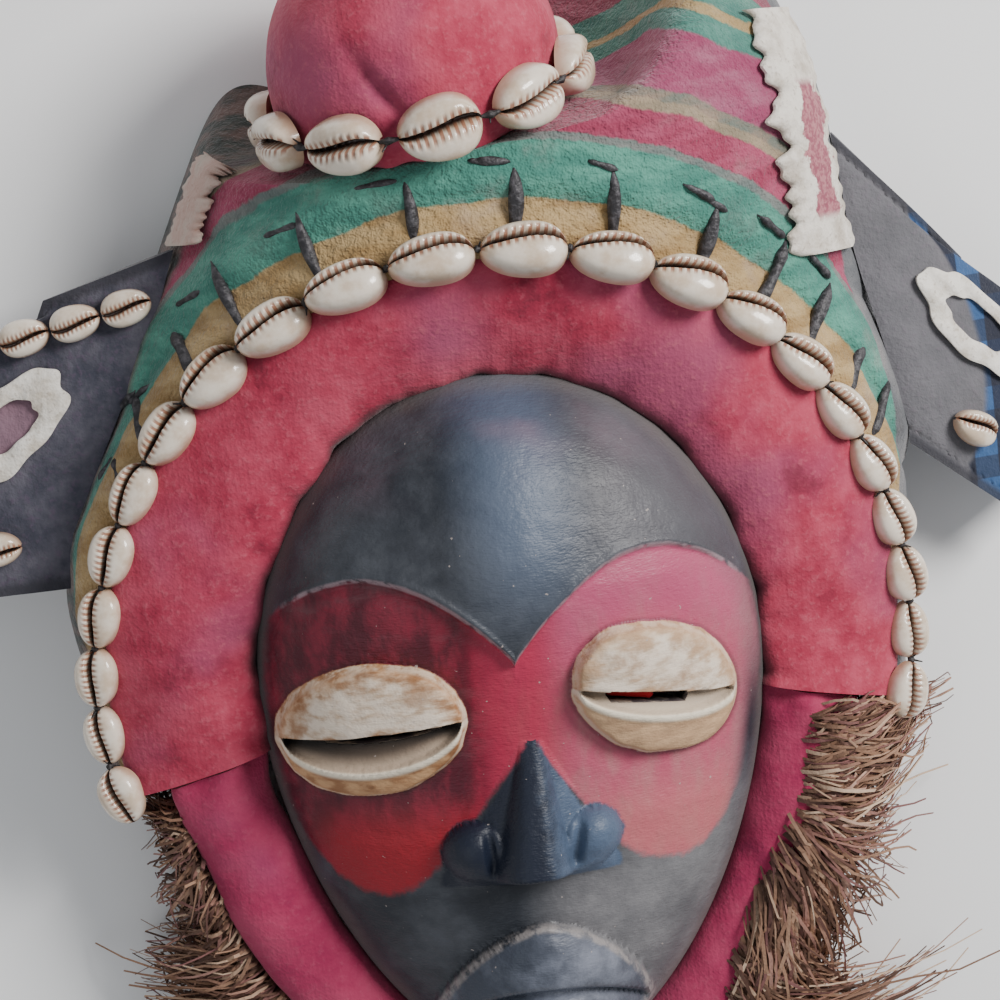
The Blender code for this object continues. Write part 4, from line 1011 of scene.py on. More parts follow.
puff = 0.0016 * hill(reach, 0.0085, 0.0085) + 0.0013 * hill(reach, 0.0235, 0.0075)
lift = (wrinkle + 0.0005 * run + seam + puff) * hem
down = np.diff(outer, axis=0, append=outer[-1:])
down[-1] = down[-2]
round_way = np.gradient(outer, axis=1)
normal = np.cross(round_way, down)
normal = normal / np.maximum(np.linalg.norm(normal, axis=-1, keepdims=True), 1e-9)
if normal[60, 105, 2] < 0:
    normal = -normal
outer = outer + normal * lift[..., None]
outer[..., 2] = np.maximum(outer[..., 2], 0)
inner = np.array([cap_surface(y, turns, CAP_WALL) for y in inner_rows])
points, faces = closed_slab(outer, inner)
size = outer.shape[0] * outer.shape[1]
fields = {
    "reach": np.concatenate([((reach + side_fall) * 1000).ravel(), np.full(size, 20.0)]),
    "turn": np.tile(turns, 2 * len(rows)),
    "inside": np.repeat([0.0, 1.0], size),
}
cap = new_piece("cotton_cap", points, faces, striped_cotton(), fields)
opening_turns = np.linspace(0, 2 * np.pi, 240, endpoint=False)
opening_ring = np.stack([np.cos(opening_turns), np.sin(opening_turns)], -1) * CAP_OPENING_RADIUS
bar = np.array([[(px, py, pz) for px, py in opening_ring] for pz in (CAP_SIDE_HEIGHT / 3, 0.2)])
cut_away(cap, new_piece("opening_bar", *closed_tube(bar), cap.data.materials[0]))
seat_turns = np.linspace(0, 2 * np.pi, 64, endpoint=False)
spokes = np.cos(seat_turns)[:, None] * knot_across + np.sin(seat_turns)[:, None] * knot_front
plug_radius = math.sqrt(KNOT_RADIUS**2 - KNOT_RISE**2) - KNOT_PLUG_DEPTH / 4
seat_bar = np.array([KNOT_SEAT + spokes * (plug_radius + GAP) + knot_up * h for h in (-0.020, 0.030)])
cut_away(cap, new_piece("seat_bar", *closed_tube(seat_bar), cap.data.materials[0]))
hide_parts("striped_cap")


# Topknot
# A ball of red cotton stuffed hard with fibre, gathered and tied at its foot. A pinched tuck
# draws the cloth in at the front, just above the ring of shells.

arc = np.linspace(math.asin(-KNOT_RISE / KNOT_RADIUS), math.pi / 2, 60)
radii = np.concatenate([[plug_radius, plug_radius], KNOT_RADIUS * np.cos(arc[:-1])])
foot = 2 * GAP
heights = np.concatenate([[-KNOT_PLUG_DEPTH, foot], foot + KNOT_RISE + KNOT_RADIUS * np.sin(arc[:-1])])
turns = np.linspace(0, 2 * np.pi, 150, endpoint=False)
spokes = np.cos(turns)[:, None] * knot_across + np.sin(turns)[:, None] * knot_front
rings = KNOT_SEAT + radii[:, None, None] * spokes + heights[:, None, None] * knot_up
ball_middle = KNOT_SEAT + (foot + KNOT_RISE) * knot_up
away = rings - ball_middle
away = away / np.linalg.norm(away, axis=-1, keepdims=True)
gathers = np.sin(turns * 17 + 2 * np.sin(turns * 3)) * np.exp(-((heights - foot) / 0.012) ** 2)[:, None]
tuck_turn = math.radians(109) + 13 * (heights - 0.022)
round_off = np.abs(np.angle(np.exp(1j * (turns - tuck_turn[:, None]))))
tuck = np.exp(-((round_off / 0.07) ** 2)) * np.exp(-(((heights - 0.022) / 0.011) ** 2))[:, None]
draw = np.exp(-((round_off / 0.30) ** 2)) * np.exp(-(((heights - 0.024) / 0.016) ** 2))[:, None]
swell = 0.0011 * lumps(rings, 0.022, 31) + 0.0004 * lumps(rings, 0.008, 32)
swell = swell + 0.0006 * gathers - 0.0030 * tuck - 0.0016 * draw
swell[:2] = 0
rings = rings + away * swell[..., None]
top_point = ball_middle + knot_up * KNOT_RADIUS
low_point = KNOT_SEAT - knot_up * KNOT_PLUG_DEPTH
points = np.concatenate([rings.reshape(-1, 3), [top_point, low_point]])
columns = len(turns)
faces = grid_faces(len(radii), columns, 0, True)
for j in range(columns):
    after = (j + 1) % columns
    faces.append((len(points) - 2, (len(radii) - 1) * columns + j, (len(radii) - 1) * columns + after))
    faces.append((len(points) - 1, after, j))
knot = new_piece("stuffed_topknot", points, faces, red_cotton("red_cotton_topknot"))
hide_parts("topknot")


# Cowrie shells
# Natural shells, cream and glossy, sewn on with the toothed slit outward. Twenty-two run along the
# cap's edge, a ring goes round the topknot's foot, and a few smaller ones trim the ears.

SHELL_WIDTH_SHARE = 0.72
SHELL_HEIGHT_SHARE = 0.38
SHELL_SPACING = 1.02
BROW_SHELL_LENGTH = 0.0240
SIDE_SHELL_LENGTH = 0.0170
RIM_SHELL_END_DEG = -13.0
EAR_SHELL_LENGTH = 0.0150
LAID_LIFT = 0.0013


def cowrie_finish():
    """Cream shell, browner low down, partly in painted shade, with dark teeth along the slit and painted
    shade in it.
    """
    f = Finish("cowrie", 0.22, coat=0.35)
    cloud = f.noise(0.009, 4, 0.6, seed=14.0)
    fine = f.noise(0.0018, 4, 0.6, seed=15.0)
    colour = f.lay((0.58, 0.45, 0.33), (0.76, 0.67, 0.56), f.near(cloud, 0.35, 0.62))
    # Browner towards the base: partly the shell's colour, partly painted shade where it curves away
    low_down = f.near(f.plus(f.field("height"), f.times(cloud, 0.35)), 0.90, 0.20)
    colour = f.lay(colour, (0.46, 0.27, 0.17), f.times(low_down, 0.80))
    slit = f.field("slit")
    lip = f.near(slit, 0.33, 0.16)
    teeth = f.near(f.field("teeth"), 0.30, -0.35)
    colour = f.lay(colour, (0.30, 0.115, 0.060), f.times(lip, teeth, 0.85))
    # Near-black painted shade inside the slit
    colour = f.lay(colour, (0.030, 0.016, 0.012), f.near(slit, 0.095, 0.035))
    colour = f.lay(colour, (0.42, 0.30, 0.22), f.times(f.near(fine, 0.66, 0.78), 0.25))
    f.paint(colour)
    f.raise_by(fine, 0.00008)
    return f.material


COWRIE = cowrie_finish()
SHELL_U = np.sin(np.linspace(-np.pi / 2, np.pi / 2, 57)) * 0.995
SHELL_V = np.linspace(-1, 1, 51)


def cowrie(place, along, normal, length, seed, offset, plump):
    """Points, faces and fields of one shell, and its slit: both ends, middle and outward."""
    normal = normal / np.linalg.norm(normal)
    along = along - normal * (along @ normal)
    along = along / np.linalg.norm(along)
    across = np.cross(normal, along)
    odd = np.random.RandomState(seed)
    lean = odd.uniform(-0.10, 0.10)
    fat = plump * odd.uniform(0.95, 1.06)
    u, v = np.meshgrid(SHELL_U, SHELL_V, indexing="ij")
    spread = (1 - np.abs(u) ** 2.25) ** 0.5 * (1 + 0.11 * u)
    slit_v = offset + lean + 0.10 * np.sin(1.6 * u)
    off = (v - slit_v) * (1 - 0.35 * np.abs(u))
    dome = (1 - np.abs(v) ** 2.5) ** 0.55
    rolled = np.exp(-((off / 0.20) ** 2))
    comb = np.sin(u * 34 + 0.6 * np.sign(off))
    open_half = 0.040 * (1 + 0.5 * u) + 0.012 * comb
    cleft = soft_step((open_half + 0.075 - np.abs(off)) / 0.10)
    rise = dome - 0.16 * rolled - 0.52 * cleft * soft_step((1 - np.abs(u)) * 9 + 0.35)
    rise = rise + 0.045 * comb * np.exp(-(((np.abs(off) - 0.17) / 0.10) ** 2)) * (1 - u**6)
    rise = np.maximum(rise, 0.0)
    half = length / 2
    lift = spread**0.62 * rise * length * SHELL_HEIGHT_SHARE
    flat_x = u * half
    flat_y = spread * np.sin(v * np.pi / 2 * 0.98) * half * SHELL_WIDTH_SHARE * fat
    top = place + flat_x[..., None] * along + flat_y[..., None] * across + lift[..., None] * normal
    under = place + (flat_x * 0.93)[..., None] * along + (flat_y * 0.90)[..., None] * across
    edge = grid_edge(*u.shape)
    points = np.concatenate([top.reshape(-1, 3), under.reshape(-1, 3)[edge]])
    foot = [u.size + i for i in range(len(edge))]
    faces = grid_faces(*u.shape) + [tuple(foot)]
    faces += ring_wall(edge, foot)
    fields = {
        "slit": np.concatenate([(np.abs(off) - 0.012 * comb).ravel(), np.full(len(edge), 1.0)]),
        "teeth": np.concatenate([comb.ravel(), np.zeros(len(edge))]),
        "height": np.concatenate([(lift / lift.max()).ravel(), np.zeros(len(edge))]),
    }
    slit_row = np.argmin(np.abs(SHELL_V - offset - lean))
    slit = (top[3, slit_row], top[-4, slit_row], top[len(SHELL_U) // 2, slit_row], normal)
    return points, faces, fields, slit


def sew_cowrie(name, node, place, along, normal, length, seed, offset=0.10, plump=1.0):
    points, faces, fields, slit = cowrie(place, along, normal, length, seed, offset, plump)
    shell = new_piece(name, points, faces, COWRIE, fields, 70)
    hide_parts(node)
    return slit


def band_top(x, y):
    """Height of the cloth near the rim, cap outside and band inside."""
    radius = np.hypot(x, y)
    angle = math.atan2(y, x)
    if angle < -math.pi / 2:
        angle += 2 * math.pi
    if radius >= CAP_OPENING_RADIUS:
        return float(cap_front(np.array(x), np.array(y)))
    inner = float(outline_reach(angle)) + GAP
    low_z = float(face_rim_height(inner * math.sin(angle))) + 0.002
    high_z = float(rim_point(angle, CAP_OPENING_RADIUS)[2]) - 0.001
    share = min(max((radius - inner) / (CAP_OPENING_RADIUS - GAP - inner), 0), 1)
    return low_z + (high_z - low_z) * share**1.3 + 0.006 * math.sin(math.pi * share) ** 0.8


def rim_shell_length(angle):
    """The shells grow towards the brow."""
    upward = max(0.0, math.sin(angle)) ** 2
    return SIDE_SHELL_LENGTH + (BROW_SHELL_LENGTH - SIDE_SHELL_LENGTH) * upward


first_turn = math.radians(RIM_SHELL_END_DEG)
fine_turns = np.linspace(first_turn, math.pi - first_turn, 361)
rim = rim_point(fine_turns, CAP_OPENING_RADIUS)
steps = np.linalg.norm(np.diff(rim, axis=0), axis=1)
middles = (fine_turns[1:] + fine_turns[:-1]) / 2
shell_steps = SHELL_SPACING * np.array([rim_shell_length(a) for a in middles])
counted = np.concatenate([[0], np.cumsum(steps / shell_steps)])
shell_turns = np.interp(np.linspace(0, counted[-1], int(counted[-1]) + 1), counted, fine_turns)
rim_ends = []
for number, angle in enumerate(shell_turns[::-1], 1):
    length = rim_shell_length(angle)
    place = rim_point(angle, CAP_OPENING_RADIUS + 0.0025)
    tilt = 0.35 + 0.10 * max(0.0, math.sin(angle))
    normal = np.array((math.cos(angle) * tilt, math.sin(angle) * tilt, 1.0))
    normal = normal / np.linalg.norm(normal)
    along = rim_point(angle - 0.04, CAP_OPENING_RADIUS) - rim_point(angle + 0.04, CAP_OPENING_RADIUS)
    along = along - normal * (along @ normal)
    along = along / np.linalg.norm(along)
    across = np.cross(normal, along)
    lift = 0.0
    for a in np.linspace(-1, 1, 7):
        width = length / 2 * SHELL_WIDTH_SHARE * math.sqrt(1 - min(1.0, abs(a) ** 2.2) * 0.9)
        for s in np.linspace(-1, 1, 7):
            spot = place + along * length / 2 * a + across * width * s
            lift = max(lift, (band_top(spot[0], spot[1]) - spot[2]) * normal[2])
    place = place + normal * (lift + LAID_LIFT * 0.4)
    node = f"rim_cowrie_{number:02d}"
    over_brow = max(0.0, math.sin(angle)) ** 1.5
    outward = across @ np.array((math.cos(angle), math.sin(angle), 0))
    offset = (0.06 + 0.26 * over_brow) * (1 if outward > 0 else -1)
    plump = 1.0 - 0.18 * over_brow
    place = place - 0.0022 * over_brow * np.array((math.cos(angle), math.sin(angle), 0.15))
    name = f"shell_rim_{number:02d}"
    slit = sew_cowrie(name, node, place, along, normal, length * 1.03, number, offset, plump)
    rim_ends.append(slit)
knot_ends = []
spacing = SHELL_SPACING * KNOT_SHELL_LENGTH
count = int(math.pi / math.asin(spacing / 2 / (KNOT_RADIUS + GAP)))
for number in range(count):
    turn = 2 * math.pi * (number + 0.5) / count
    frame_across = -knot_across
    spoke = math.cos(turn) * frame_across + math.sin(turn) * knot_front
    tangent = -math.sin(turn) * frame_across + math.cos(turn) * knot_front
    lift = KNOT_SHELL_LENGTH / 2 * SHELL_WIDTH_SHARE * 1.1 + 3 * GAP
    place = KNOT_SEAT + spoke * (KNOT_RADIUS + GAP) + knot_up * lift
    name = f"shell_knot_{number + 1:02d}"
    node = f"knot_cowrie_{number + 1:02d}"
    knot_ends.append(sew_cowrie(name, node, place, tangent, spoke, KNOT_SHELL_LENGTH, 40 + number))


# Shell threads
# Black waxed thread runs along every slit and is knotted between neighbouring shells, and short
# ends of it stand up from the knots. Small stitches of it hold the face band's two edges.

BOW_THICKNESS = 0.0008 * np.array((0.6, 0.8, 1, 1.3, 1.5, 1.3, 1, 0.8, 0.6))


def waxed_thread():
    f = Finish("waxed_thread", 0.6)
    fibre = f.noise(0.0012, 4, 0.7)
    f.paint(f.lay((0.010, 0.009, 0.010), (0.045, 0.038, 0.040), f.near(fibre, 0.4, 0.7)))
    f.raise_by(fibre, 0.0004)
    return f.material


def along_path(path, count):
    """A number of points along a path, spread evenly over its bends."""
    path = np.asarray(path)
    spread = np.linspace(0, len(path) - 1, count)
    return np.stack([np.interp(spread, np.arange(len(path)), path[:, i]) for i in range(3)], -1)


def cord_along(path, thick, sides=6):
    """Points and faces of a thin cord through a path; thick may be one size or one per point."""
    path = np.asarray(path)
    thick = np.broadcast_to(thick, len(path))
    way = np.gradient(path, axis=0)
    way = way / np.maximum(np.linalg.norm(way, axis=1, keepdims=True), 1e-9)
    side = np.cross(way, (0.13, 0.21, 0.97))
    side = side / np.linalg.norm(side, axis=1, keepdims=True)
    other = np.cross(side, way)
    turn = np.linspace(0, 2 * np.pi, sides, endpoint=False)
    rings = side[:, None] * np.cos(turn)[:, None] + other[:, None] * np.sin(turn)[:, None]
    return closed_tube(path[:, None] + rings * thick[:, None, None])


def bundle(parts):
    """Several closed bodies in one list of points and faces."""
    points, faces, start = [], [], 0
    for part_points, part_faces in parts:
        points.append(part_points)
        faces += [tuple(i + start for i in face) for face in part_faces]
        start += len(part_points)
    return np.concatenate(points), faces


threads = []
for row, closed in ((rim_ends, False), (knot_ends, True)):
    odd = np.random.RandomState(5)
    for number, (first, last, mid, out) in enumerate(row):
        sag = out * 0.0004
        path = (
            first - out * 0.0006,
            first * 0.75 + mid * 0.25 + sag,
            first * 0.5 + mid * 0.5,
            mid - out * 0.0008,
            last * 0.5 + mid * 0.5,
            last * 0.75 + mid * 0.25 + sag,
            last - out * 0.0006,
        )
        threads.append(cord_along(along_path(path, 19), 0.00042))
        if number + 1 < len(row) or closed:
            after = row[(number + 1) % len(row)]
            pairs = [(a, b) for a in (first, last) for b in after[:2]]
            a, b = min(pairs, key=lambda pair: np.linalg.norm(pair[0] - pair[1]))
            knot_spot = (a + b) / 2 - out * 0.0008
            bow = (a, knot_spot + out * 0.0012, b)
            threads.append(cord_along(along_path(bow, 9), BOW_THICKNESS))
            for _ in range(2):
                swing = odd.uniform(-1, 1, 3) * 0.0035
                swing[2] = abs(swing[2]) * 0.4
                tail_path = np.linspace(knot_spot, knot_spot + swing + out * 0.0008, 6)
                threads.append(cord_along(tail_path, np.linspace(0.0005, 0.0002, 6), 5))
odd = np.random.RandomState(17)
for degrees in np.concatenate([np.linspace(8, 172, 19), (-12.5, -11, 189, 191)]):
    turn = math.radians(degrees + odd.uniform(-3, 3))
    for reach_share in (0.10, 0.90):
        if odd.uniform(0, 1) < 0.30:
            continue
        inner_reach = float(outline_reach(turn))
        radius = inner_reach + (CAP_OPENING_RADIUS - inner_reach) * (reach_share + odd.uniform(-0.03, 0.03))
        swing = odd.uniform(-0.5, 0.5)
        dash = []
        for part in np.linspace(-1, 1, 5):
            spot_radius = radius + 0.0017 * part * math.cos(swing)
            spot_turn = turn + 0.0017 * part * math.sin(swing) / radius
            spot_x = spot_radius * math.cos(spot_turn)
            spot_y = spot_radius * math.sin(spot_turn)
            dash.append((spot_x, spot_y, band_top(spot_x, spot_y) + 0.0007 - 0.0010 * part * part))
        threads.append(cord_along(dash, 0.00045))
thread_piece = new_piece("shell_threads", *bundle(threads), waxed_thread())


# Thong stitches
# Black leather thongs, each laced from the shells across the ochre and green stripes, with shorter
# dashes of the same thong above them.

# Each thong: angle of its lower end, angle and reach of its upper end
THONGS = (
    (151, 146, 0.1310), (143, 138, 0.1345), (131, 129, 0.1395), (122, 120, 0.1460), (110, 109, 0.1460),
    (98, 97, 0.1460), (85, 85, 0.1460), (72, 74, 0.1460), (60, 61, 0.1460), (50, 51, 0.1460),
    (40, 43, 0.1460), (31, 35, 0.1405), (24, 29, 0.1405),
)
HOOKED = (146, 138, 85, 61, 51, 43)
# Each dash: angle and reach of one end, and how far it turns
DASHES = (
    (114, 0.144, 5), (103, 0.146, 6), (77, 0.147, 4), (64, 0.1455, 5), (127, 0.1425, 4),
    (140, 0.1345, 4), (90, 0.147, 3),
)


def black_thong():
    f = Finish("black_thong", 0.55)
    grain = f.noise(0.0020, 4, 0.65)
    f.paint(f.lay((0.016, 0.015, 0.018), (0.075, 0.070, 0.078), f.near(grain, 0.38, 0.72)))
    f.raise_by(grain, 0.0006)
    return f.material


def laid_strip(ends, width, height, bow=0.0):
    """A strip that follows the cap's front between two places given by angle and reach."""
    (angle_a, radius_a), (angle_b, radius_b) = ends
    share = np.linspace(0, 1, 15)
    angle = np.radians(angle_a + (angle_b - angle_a) * share)
    radius = radius_a + (radius_b - radius_a) * share
    x = radius * np.cos(angle) + bow * np.sin(np.pi * share) * -np.sin(angle)
    y = radius * np.sin(angle) + bow * np.sin(np.pi * share) * np.cos(angle)
    surface = seat_dent(np.stack([x, y, cap_front(x, y)], -1))
    surface[:, 2] += 0.0012
    way = np.gradient(surface, axis=0)
    way = way / np.linalg.norm(way, axis=1, keepdims=True)
    sideways = np.cross(way, (0, 0, 1.0))
    sideways = sideways / np.linalg.norm(sideways, axis=1, keepdims=True)
    upright = np.cross(sideways, way)
    turn = np.linspace(0, 2 * np.pi, 12, endpoint=False)
    taper = (np.clip(np.minimum(share, 1 - share) * 5, 0.25, 1)) * (1 + 0.18 * np.sin(share * 9 + angle_a))
    ring = sideways[:, None] * (np.cos(turn) * width / 2)[:, None]
    ring = ring + upright[:, None] * (np.sin(turn) * height / 2)[:, None]
    dive = -0.0016 * (1 - np.clip(np.minimum(share, 1 - share) * 7, 0, 1)) ** 2
    surface = surface + upright * dive[:, None]
    return closed_tube(surface[:, None] + ring * taper[:, None, None])


odd = np.random.RandomState(11)
strips = []
for low_angle, high_angle, reach_out in THONGS:
    top_place = (high_angle, reach_out + odd.uniform(-0.001, 0.001))
    bow = odd.uniform(-0.0012, 0.0012)
    strips.append(laid_strip(((low_angle, 0.1235), top_place), odd.uniform(0.0031, 0.0042), 0.0032, bow))
    if high_angle in HOOKED:
        hook_end = (high_angle + 4.5, top_place[1] + 0.0012)
        strips.append(laid_strip((top_place, hook_end), 0.0022, 0.0022))
for angle, radius, turn_deg in DASHES:
    strips.append(laid_strip(((angle, radius), (angle - turn_deg, radius - 0.0015)), 0.0018, 0.0014))
thongs = new_piece("thong_stitches", *bundle(strips), black_thong())


# Ears
# Two flat ears of dark grey cotton, lightly stuffed, sewn on at the cap's sides. Their edges are
# oversewn, and the right one has a checked blue patch above its hide loop.

EAR_REACH = 0.068
EAR_LENGTH = 0.096
EAR_LEVEL = 0.034
EAR_THICKNESS = 0.007
EAR_TOP_FALL = 0.11
# For the left ear and the right: how far up its root starts, how far its tip droops and slants down
EAR_SHAPES = {-1: (0.034, 0.008, 0.000), 1: (0.046, 0.024, 0.032)}
EAR_ROW_UP = 0.86
LOW_SHELL = (0.16, 0.40)
# Middle of the hide loop, as shares out from the root and up the ear
LOOP_OUT = 0.52
LOOP_UP = 0.55


def cap_side(y, z, side):
    """How far out the cap's side lies at a height over the floor."""
    n = cap_squareness(y)
    share = np.clip(z / cap_height(y), 0, 1)
    return cap_middle(y) + side * cap_half_width(y) * (1 - share**n) ** (1 / n)


def ear_point(side, up_share, out, lift=0.0):
    """A place on an ear, by shares up its root and out to its tip, and a height over its middle."""
    up_share, out, lift = np.broadcast_arrays(up_share * 1.0, out * 1.0, lift * 1.0)
    bottom, droop, slant = EAR_SHAPES[side]
    y_root = bottom + EAR_LENGTH * up_share
    level = EAR_LEVEL + lift
    root_x = cap_side(y_root, level, side)
    leaf = EAR_REACH * np.sin(np.pi * np.clip(up_share, 0.06, 0.94)) ** 0.33
    middle_x = cap_side(y_root, EAR_LEVEL + 0 * y_root, side)
    x = root_x * (1 - out) + middle_x * out + side * (2 * GAP + leaf * out)
    y = y_root - slant * out - EAR_TOP_FALL * EAR_LENGTH * up_share * out
    z = level - droop * (leaf * out / EAR_REACH) ** 1.6
    return np.stack([x, y, z], -1)


def ear_cotton(side):
    """Grey cotton with a dark oversewn edge, checked blue on the right, mauve in the left loop."""
    f = Finish(f"ear_cotton_{'right' if side > 0 else 'left'}", 0.88, sheen=0.2)
    mottle = f.noise(0.014, 5, 0.65, seed=16.0 + side)
    grain = f.noise(0.0022, 4, 0.7, seed=17.0)
    colour = f.lay((0.030, 0.032, 0.050), (0.095, 0.090, 0.115), f.near(mottle, 0.34, 0.70))
    colour = f.lay(colour, (0.085, 0.055, 0.095), f.times(f.near(grain, 0.5, 0.7), 0.5))
    if side > 0:
        colour = f.lay(colour, (0.17, 0.165, 0.17), 0.55)
        place = f.tree.nodes.new("ShaderNodeSeparateXYZ")
        f.join(f.place, place.inputs[0])
        checks = []
        for axis, size, shift in (("X", 0.016, 0.1), ("Y", 0.014, 0.35)):
            cell = f.maths("FRACT", f.plus(f.maths("DIVIDE", place.outputs[axis], size), shift))
            checks.append(f.near(f.maths("PINGPONG", cell, 0.5), 0.24, 0.27))
        plaid = f.lay((0.010, 0.018, 0.045), (0.030, 0.085, 0.21), checks[0])
        plaid = f.lay(plaid, (0.012, 0.012, 0.020), f.times(checks[1], 0.65))
        above = f.near(f.field("check"), 0.0, 0.04)
        colour = f.lay(colour, plaid, above)
    else:
        colour = f.lay(colour, (0.24, 0.13, 0.17), f.times(f.near(f.field("loop"), 1.0, 0.9), 0.8))
    rim = f.near(f.field("border"), 0.055, 0.02)
    colour = f.lay(colour, (0.020, 0.020, 0.028), f.times(rim, 0.8))
    f.paint(colour)
    f.raise_by(grain, 0.0006)
    f.raise_by(mottle, 0.0010)
    return f.material


for label, side in (("left", -1), ("right", 1)):
    ups = np.linspace(0, 1, 101)
    outs = 1 - (1 - np.linspace(0, 1, 61)) ** 1.4
    u, o = np.meshgrid(ups, outs, indexing="ij")
    puff = EAR_THICKNESS / 2 * np.interp(o, [0, 0.3, 0.65, 0.9, 1.0], [0.9, 1.0, 1.0, 0.8, 0.35])
    border = np.minimum(np.minimum(u, 1 - u) * EAR_LENGTH, (1 - o) * EAR_REACH) / EAR_LENGTH
    puff = puff * np.sin(np.pi * (0.12 + 0.76 * u)) ** 0.4
    plan = ear_point(side, u, o)
    rumple = 0.0009 * lumps(plan, 0.016, 33 + side) + 0.0004 * lumps(plan, 0.006, 35)
    stitch = -0.0009 * hill(border, 0.045, 0.02) * (0.5 + 0.5 * np.cos(u * 130 + o * 90))
    above = ear_point(side, u, o, puff) + (rumple + stitch)[..., None] * (0, 0, 1)
    below = ear_point(side, u, o, -puff) + (0.6 * rumple)[..., None] * (0, 0, 1)
    points, faces = closed_slab(above, below)
    check = o - 0.44 - 0.10 * u
    loop_reach = np.hypot((o - LOOP_OUT) / 0.17, (u - LOOP_UP) / 0.10)
    fields = {"border": border, "check": check, "loop": loop_reach}
    fields = {name: np.tile(values.ravel(), 2) for name, values in fields.items()}
    ear = new_piece(f"cotton_ear_{label}", points, faces, ear_cotton(side), fields)
    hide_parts(f"ear_{label}")
    spots = [LOW_SHELL]
    if side < 0:
        step = SHELL_SPACING * EAR_SHELL_LENGTH
        width = abs(ear_point(side, EAR_ROW_UP, 1)[0] - ear_point(side, EAR_ROW_UP, 0)[0])
        spots += [(EAR_ROW_UP, (number + 0.6) * step / width) for number in range(int(width / step))]
    for number, (up_share, out) in enumerate(spots, 1):
        place = ear_point(side, up_share, out)
        place[2] += EAR_THICKNESS / 2 + 0.0010
        along = ear_point(side, up_share, out + 0.05) - ear_point(side, up_share, out - 0.05)
        upward = ear_point(side, up_share + 0.04, out) - ear_point(side, up_share - 0.04, out)
        normal = np.cross(along, upward) * side
        name = f"shell_ear_{label}_{number}"
        node = f"ear_cowrie_{label}_{number}"
        sew_cowrie(name, node, place, along, normal, EAR_SHELL_LENGTH, 60 + number)


# Hide loops and shoulder strips
# Cream goat hide, cut with a knife so that its edges waver, sewn on the ears in rings and on the
# cap's shoulders in strips.


HIDE_THICKNESS = 0.0024
HIDE_CLEARANCE = 0.0008
# Section of a hide loop: its reach out and up as shares of the ear, and its share of the thickness
LOOP_SECTION = (
    (0.150, 0.085, 0.0), (0.150, 0.085, 0.8), (0.165, 0.096, 1.0), (0.21, 0.13, 1.15),
    (0.255, 0.164, 1.0), (0.27, 0.175, 0.8), (0.27, 0.175, 0.0),
)


def goat_hide(name, roughness, dark, light, stain):
    """Cream hide with stains: the surface, still without its colour, and the colour."""
    f = Finish(name, roughness, sheen=0.1)
    f.mottle = f.noise(0.010, 5, 0.65, seed=18.0)
    f.fine = f.noise(0.0016, 4, 0.7, seed=19.0)
    f.raise_by(f.fine, 0.0004)
    f.raise_by(f.mottle, 0.0010)
    colour = f.lay(dark, light, f.near(f.mottle, 0.32, 0.62))
    return f, f.lay(colour, stain, f.times(f.near(f.fine, 0.58, 0.72), 0.5))


def loop_hide():
    f, colour = goat_hide("cream_hide", 0.75, (0.50, 0.44, 0.36), (0.76, 0.72, 0.66), (0.33, 0.27, 0.21))
    f.paint(colour)
    return f.material


def shoulder_hide(label):
    """Browner hide on the left shoulder, and a worn pink middle on the right one."""
    name = f"shoulder_hide_{label}"
    f, colour = goat_hide(name, 0.78, (0.46, 0.40, 0.33), (0.72, 0.67, 0.60), (0.28, 0.22, 0.17))
    if label == "left":
        colour = f.lay(colour, (0.42, 0.22, 0.17), f.times(f.near(f.mottle, 0.30, 0.60), 0.75))
    else:
        frayed = f.times(f.minus(f.mottle, 0.5), 1.6)
        off_middle = f.plus(f.maths("ABSOLUTE", f.field("across")), frayed)
        off_band = f.maths("ABSOLUTE", f.minus(f.field("down"), 0.42))
        worn = f.times(f.near(off_middle, 0.46, 0.36), f.near(off_band, 0.30, 0.25))
        pink = f.lay((0.26, 0.060, 0.090), (0.40, 0.15, 0.17), f.near(f.fine, 0.4, 0.6))
        colour = f.lay(colour, pink, worn)
    f.paint(colour)
    return f.material


